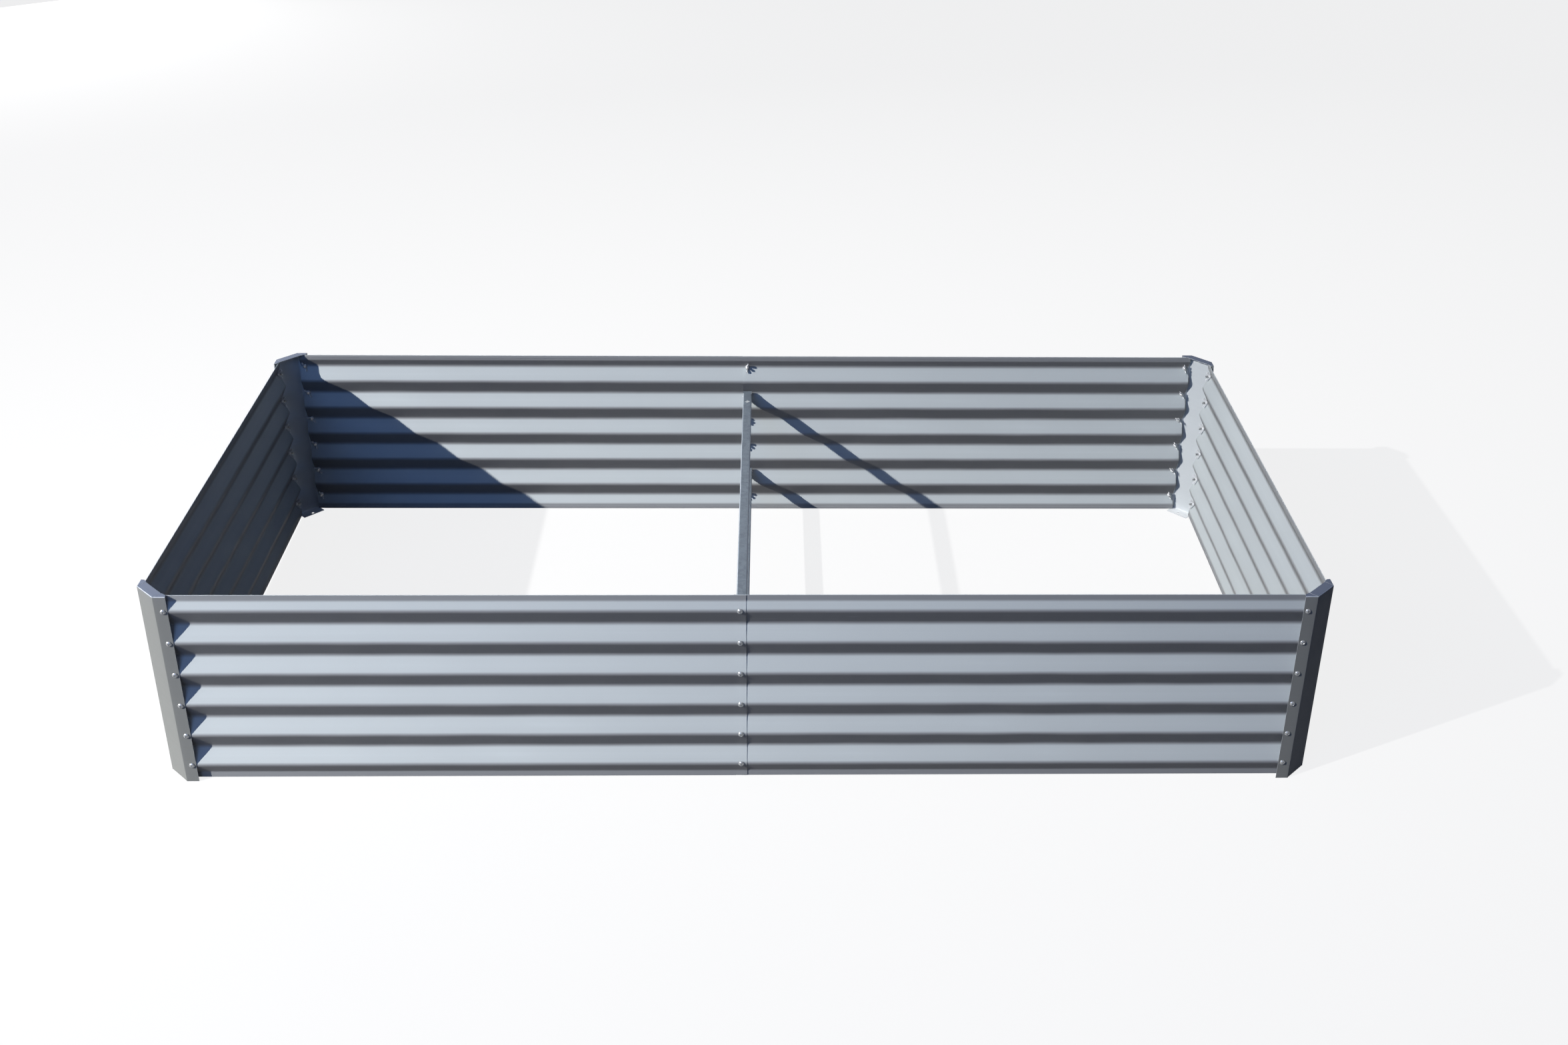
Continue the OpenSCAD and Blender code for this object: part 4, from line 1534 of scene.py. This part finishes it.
def sheared_edge(name):
    """Bare edge left by the shears: drawn lines of steel and zinc."""
    recipe = new_recipe(name)
    colour = bpy.context.scene.garden_bed_finishes.cut_edge
    lines = recipe.noise(recipe.places(900, 900, 900), scale=1, detail=3, roughness=0.6)
    patches = recipe.noise(recipe.places(1, 1, 1), scale=130, detail=4, roughness=0.6)
    base = recipe.blend(0.5 * lines + 0.5 * patches, solid(colour, 0.72), solid(colour, 1.22))
    normal = recipe.bump(lines, strength=0.3, distance=0.0001)
    return recipe.finish(base, 0.42 + 0.2 * patches, normal, Metallic=0.4)


def spangled_zinc(name):
    """Hot-dip zinc: frosted spangles, dull patches and fine speckle, with a painted highlight along its
    folds.
    """
    recipe = new_recipe(name)
    colour = bpy.context.scene.garden_bed_finishes.galvanised
    everywhere = recipe.places(1, 1, 1)
    wander = recipe.node(
        "ShaderNodeTexNoise", None, {"Vector": everywhere, "Scale": 90, "Detail": 3}, "Color")
    bent = recipe.blend(SPANGLE_WANDER, everywhere, wander, "ADD")
    cells = {"Vector": bent, "Scale": SPANGLE_SCALE}
    spangle = recipe.node("ShaderNodeTexVoronoi", None, cells, "Color")
    shade = recipe.node("ShaderNodeSeparateXYZ", None, {"Vector": spangle}, "X")
    tilt = recipe.node("ShaderNodeSeparateXYZ", None, {"Vector": spangle}, "Y")
    edges = recipe.node("ShaderNodeTexVoronoi", {"feature": "DISTANCE_TO_EDGE"}, cells, "Distance")
    rims = recipe.fall(edges, 0.0, 0.09)
    cloud = recipe.noise(everywhere, scale=11, detail=6, roughness=0.65)
    speckle = recipe.noise(everywhere, scale=420, detail=4, roughness=0.7)
    white_rust = recipe.rise(recipe.noise(everywhere, scale=46, detail=7, roughness=0.72), 0.60, 0.72)

    tone = 0.30 * shade + 0.38 * cloud + 0.32 * speckle
    base = recipe.blend(tone, solid(colour, 0.62), solid(colour, 1.38))
    base = recipe.mark(base, rims, amount=0.10, colour=SPANGLE_RIM)
    base = recipe.mark(base, white_rust, amount=0.16, colour=WHITE_RUST)
    # Painted highlight along the folds between the side flanges and the web
    base = recipe.mark(base, turned_edge(recipe), amount=0.75, colour=ZINC_FOLD_HIGHLIGHT)
    roughness = 0.34 + 0.14 * tilt + 0.12 * cloud + 0.12 * white_rust
    height = 0.5 * shade + 0.6 * speckle + 0.6 * rims
    normal = recipe.bump(height, strength=0.22, distance=0.0003)
    return recipe.finish(base, roughness, normal, Metallic=0.35)


def plated(name, colour, grain, least_roughness, pit_depth, metallic):
    """Bright zinc plating with dull clouds, fine pits and handling marks."""
    recipe = new_recipe(name)
    everywhere = recipe.places(1, 1, 1)
    cloud = recipe.noise(everywhere, scale=190, detail=5, roughness=0.6)
    pits = recipe.noise(everywhere, scale=grain, detail=3, roughness=0.6)
    handled = recipe.noise(
        recipe.places(900, 5200, 1500, turn=(0, 0, 31)), scale=1, detail=2, roughness=0.5)
    marks = recipe.rise(handled, 0.60, 0.72)
    base = recipe.blend(0.6 * cloud + 0.4 * pits, solid(colour, 0.70), solid(colour, 1.26))
    base = recipe.mark(base, marks, amount=0.25, colour=HANDLING_MARK)
    roughness = least_roughness + 0.16 * cloud + 0.08 * marks
    normal = recipe.bump(pits - 0.5 * marks, strength=0.35, distance=pit_depth)
    return recipe.finish(base, roughness, normal, Metallic=metallic)


def bolt_plating(name):
    """Plating of the bolts."""
    colour = bpy.context.scene.garden_bed_finishes.bolt_zinc
    return plated(name, colour, grain=2600, least_roughness=0.20, pit_depth=0.00006, metallic=0.55)


def nut_casting(name):
    """Cast skin of the wing nuts, duller than the bolts."""
    colour = bpy.context.scene.garden_bed_finishes.nut_zinc
    return plated(name, colour, grain=1500, least_roughness=0.26, pit_depth=0.00012, metallic=0.2)


MATERIALS = {
    "wall_coating": wall_coating,
    "post_coating": post_coating,
    "post_backing": post_backing,
    "sheared_edge": sheared_edge,
    "spangled_zinc": spangled_zinc,
    "bolt_plating": bolt_plating,
    "nut_casting": nut_casting,
}


# Stage

GLOSS_SHARE = 0.35
WHITE = (1, 1, 1)
FLOOR_GREY = (0.93, 0.93, 0.93)
BED_MIDDLE = Vector((0, 0, 0.2))
SENSOR_WIDTH = 36


def seen_share(recipe):
    """One for rays from the camera or through glass, a share for gloss, zero for diffuse light."""
    seen = recipe.node("ShaderNodeLightPath", output="Is Camera Ray")
    gloss = recipe.node("ShaderNodeLightPath", output="Is Glossy Ray")
    through = recipe.node("ShaderNodeLightPath", output="Is Transmission Ray")
    return seen.at_least(gloss * GLOSS_SHARE).at_least(through)


def pale_floor(stage):
    """Pale floor that keeps the bed's soft shadow and throws back little light."""
    recipe = new_recipe("pale_floor")
    seen = seen_share(recipe)
    colour = recipe.blend(seen, solid(stage.floor_bounce), solid(FLOOR_GREY))
    matt = recipe.node("ShaderNodeBsdfDiffuse", None, {"Color": colour})
    white = recipe.node("ShaderNodeEmission", None, {"Color": solid(WHITE), "Strength": 1})
    surface = recipe.node("ShaderNodeMixShader", None, {0: seen * stage.floor_glow, 1: matt, 2: white})
    recipe.node("ShaderNodeOutputMaterial", None, {"Surface": surface})
    return recipe.owner


def light_room(stage):
    """Even light from all round, seen as plain white."""
    world = bpy.data.worlds.new("studio")
    bpy.context.scene.world = world
    recipe = Recipe(world)
    colour = recipe.blend(seen_share(recipe), solid(stage.room_light), solid(WHITE))
    background = recipe.node("ShaderNodeBackground", None, {"Color": colour, "Strength": 1})
    recipe.node("ShaderNodeOutputWorld", None, {"Surface": background})


def hang_lamp(name, place, aim, width, power, colour):
    """A soft area lamp that hangs at a place and is turned to an aim."""
    lamp = bpy.data.lights.new(name, "AREA")
    lamp.size, lamp.energy, lamp.color = width, power, colour
    holder = bpy.data.objects.new(name, lamp)
    holder.location = place
    holder.rotation_euler = (Vector(place) - Vector(aim)).to_track_quat("Z", "Y").to_euler()
    holder.visible_camera = False
    bpy.context.scene.collection.objects.link(holder)
    return lamp


class GARDENBED_OT_stage(Operator):
    """Pale floor, white backdrop, soft key light and the camera"""

    bl_idname = "gardenbed.stage"
    bl_label = "Stage"

    def execute(self, context):
        stage = context.scene.garden_bed_stage
        bm = bmesh.new()
        bmesh.ops.create_grid(bm, x_segments=1, y_segments=1, size=stage.floor_width / 2)
        floor = bpy.data.objects.new("floor", mesh_from(bm, "floor"))
        floor.data.materials.append(pale_floor(stage))
        context.scene.collection.objects.link(floor)
        light_room(stage)

        key = hang_lamp("key_light", stage.key_place, stage.key_aim, stage.key_width, stage.key_power,
                        stage.key_colour)
        key.shape, key.spread = "DISK", stage.key_spread
        hang_lamp("fill_light", stage.fill_place, BED_MIDDLE, stage.fill_width, stage.fill_power,
                  stage.fill_colour)
        hang_lamp("back_light", stage.back_place, BED_MIDDLE, stage.fill_width, stage.back_power, WHITE)

        lens = bpy.data.cameras.new("camera")
        lens.sensor_width, lens.lens = SENSOR_WIDTH, stage.camera_lens
        lens.shift_x, lens.shift_y = stage.camera_shift
        camera = bpy.data.objects.new("camera", lens)
        camera.location = stage.camera_place
        camera.rotation_euler = Euler(stage.camera_turn)
        context.scene.collection.objects.link(camera)
        context.scene.camera = camera
        context.scene.view_settings.view_transform = "Standard"
        return {"FINISHED"}


# Add-on

class GARDENBED_PT_panel(Panel):
    """Lists the pieces of the garden bed and their sizes"""

    bl_label = "Garden Bed"
    bl_idname = "GARDENBED_PT_panel"
    bl_space_type = "VIEW_3D"
    bl_region_type = "UI"
    bl_category = "Garden Bed"

    def draw(self, context):
        for operator in OPERATORS:
            self.layout.operator(operator.bl_idname)
        for name, group in SETTINGS.items():
            box = self.layout.box()
            box.label(text=group.__doc__)
            for key in group.__annotations__:
                box.prop(getattr(context.scene, name), key)


OPERATORS = (
    GARDENBED_OT_wall_sheets,
    GARDENBED_OT_corner_posts,
    GARDENBED_OT_braces,
    GARDENBED_OT_bolts,
    GARDENBED_OT_wing_nuts,
    GARDENBED_OT_stage,
)


def register():
    for group in (*SETTINGS.values(), *OPERATORS, GARDENBED_PT_panel):
        bpy.utils.register_class(group)
    for name, group in SETTINGS.items():
        setattr(bpy.types.Scene, name, PointerProperty(type=group))


def unregister():
    for name in SETTINGS:
        delattr(bpy.types.Scene, name)
    for group in reversed((*SETTINGS.values(), *OPERATORS, GARDENBED_PT_panel)):
        bpy.utils.unregister_class(group)


def main():
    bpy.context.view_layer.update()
    register()
    bpy.ops.gardenbed.wall_sheets()
    bpy.ops.gardenbed.corner_posts()
    bpy.ops.gardenbed.braces()
    bpy.ops.gardenbed.bolts()
    bpy.ops.gardenbed.wing_nuts()
    bpy.ops.gardenbed.stage()


if __name__ == "__main__":
    main()
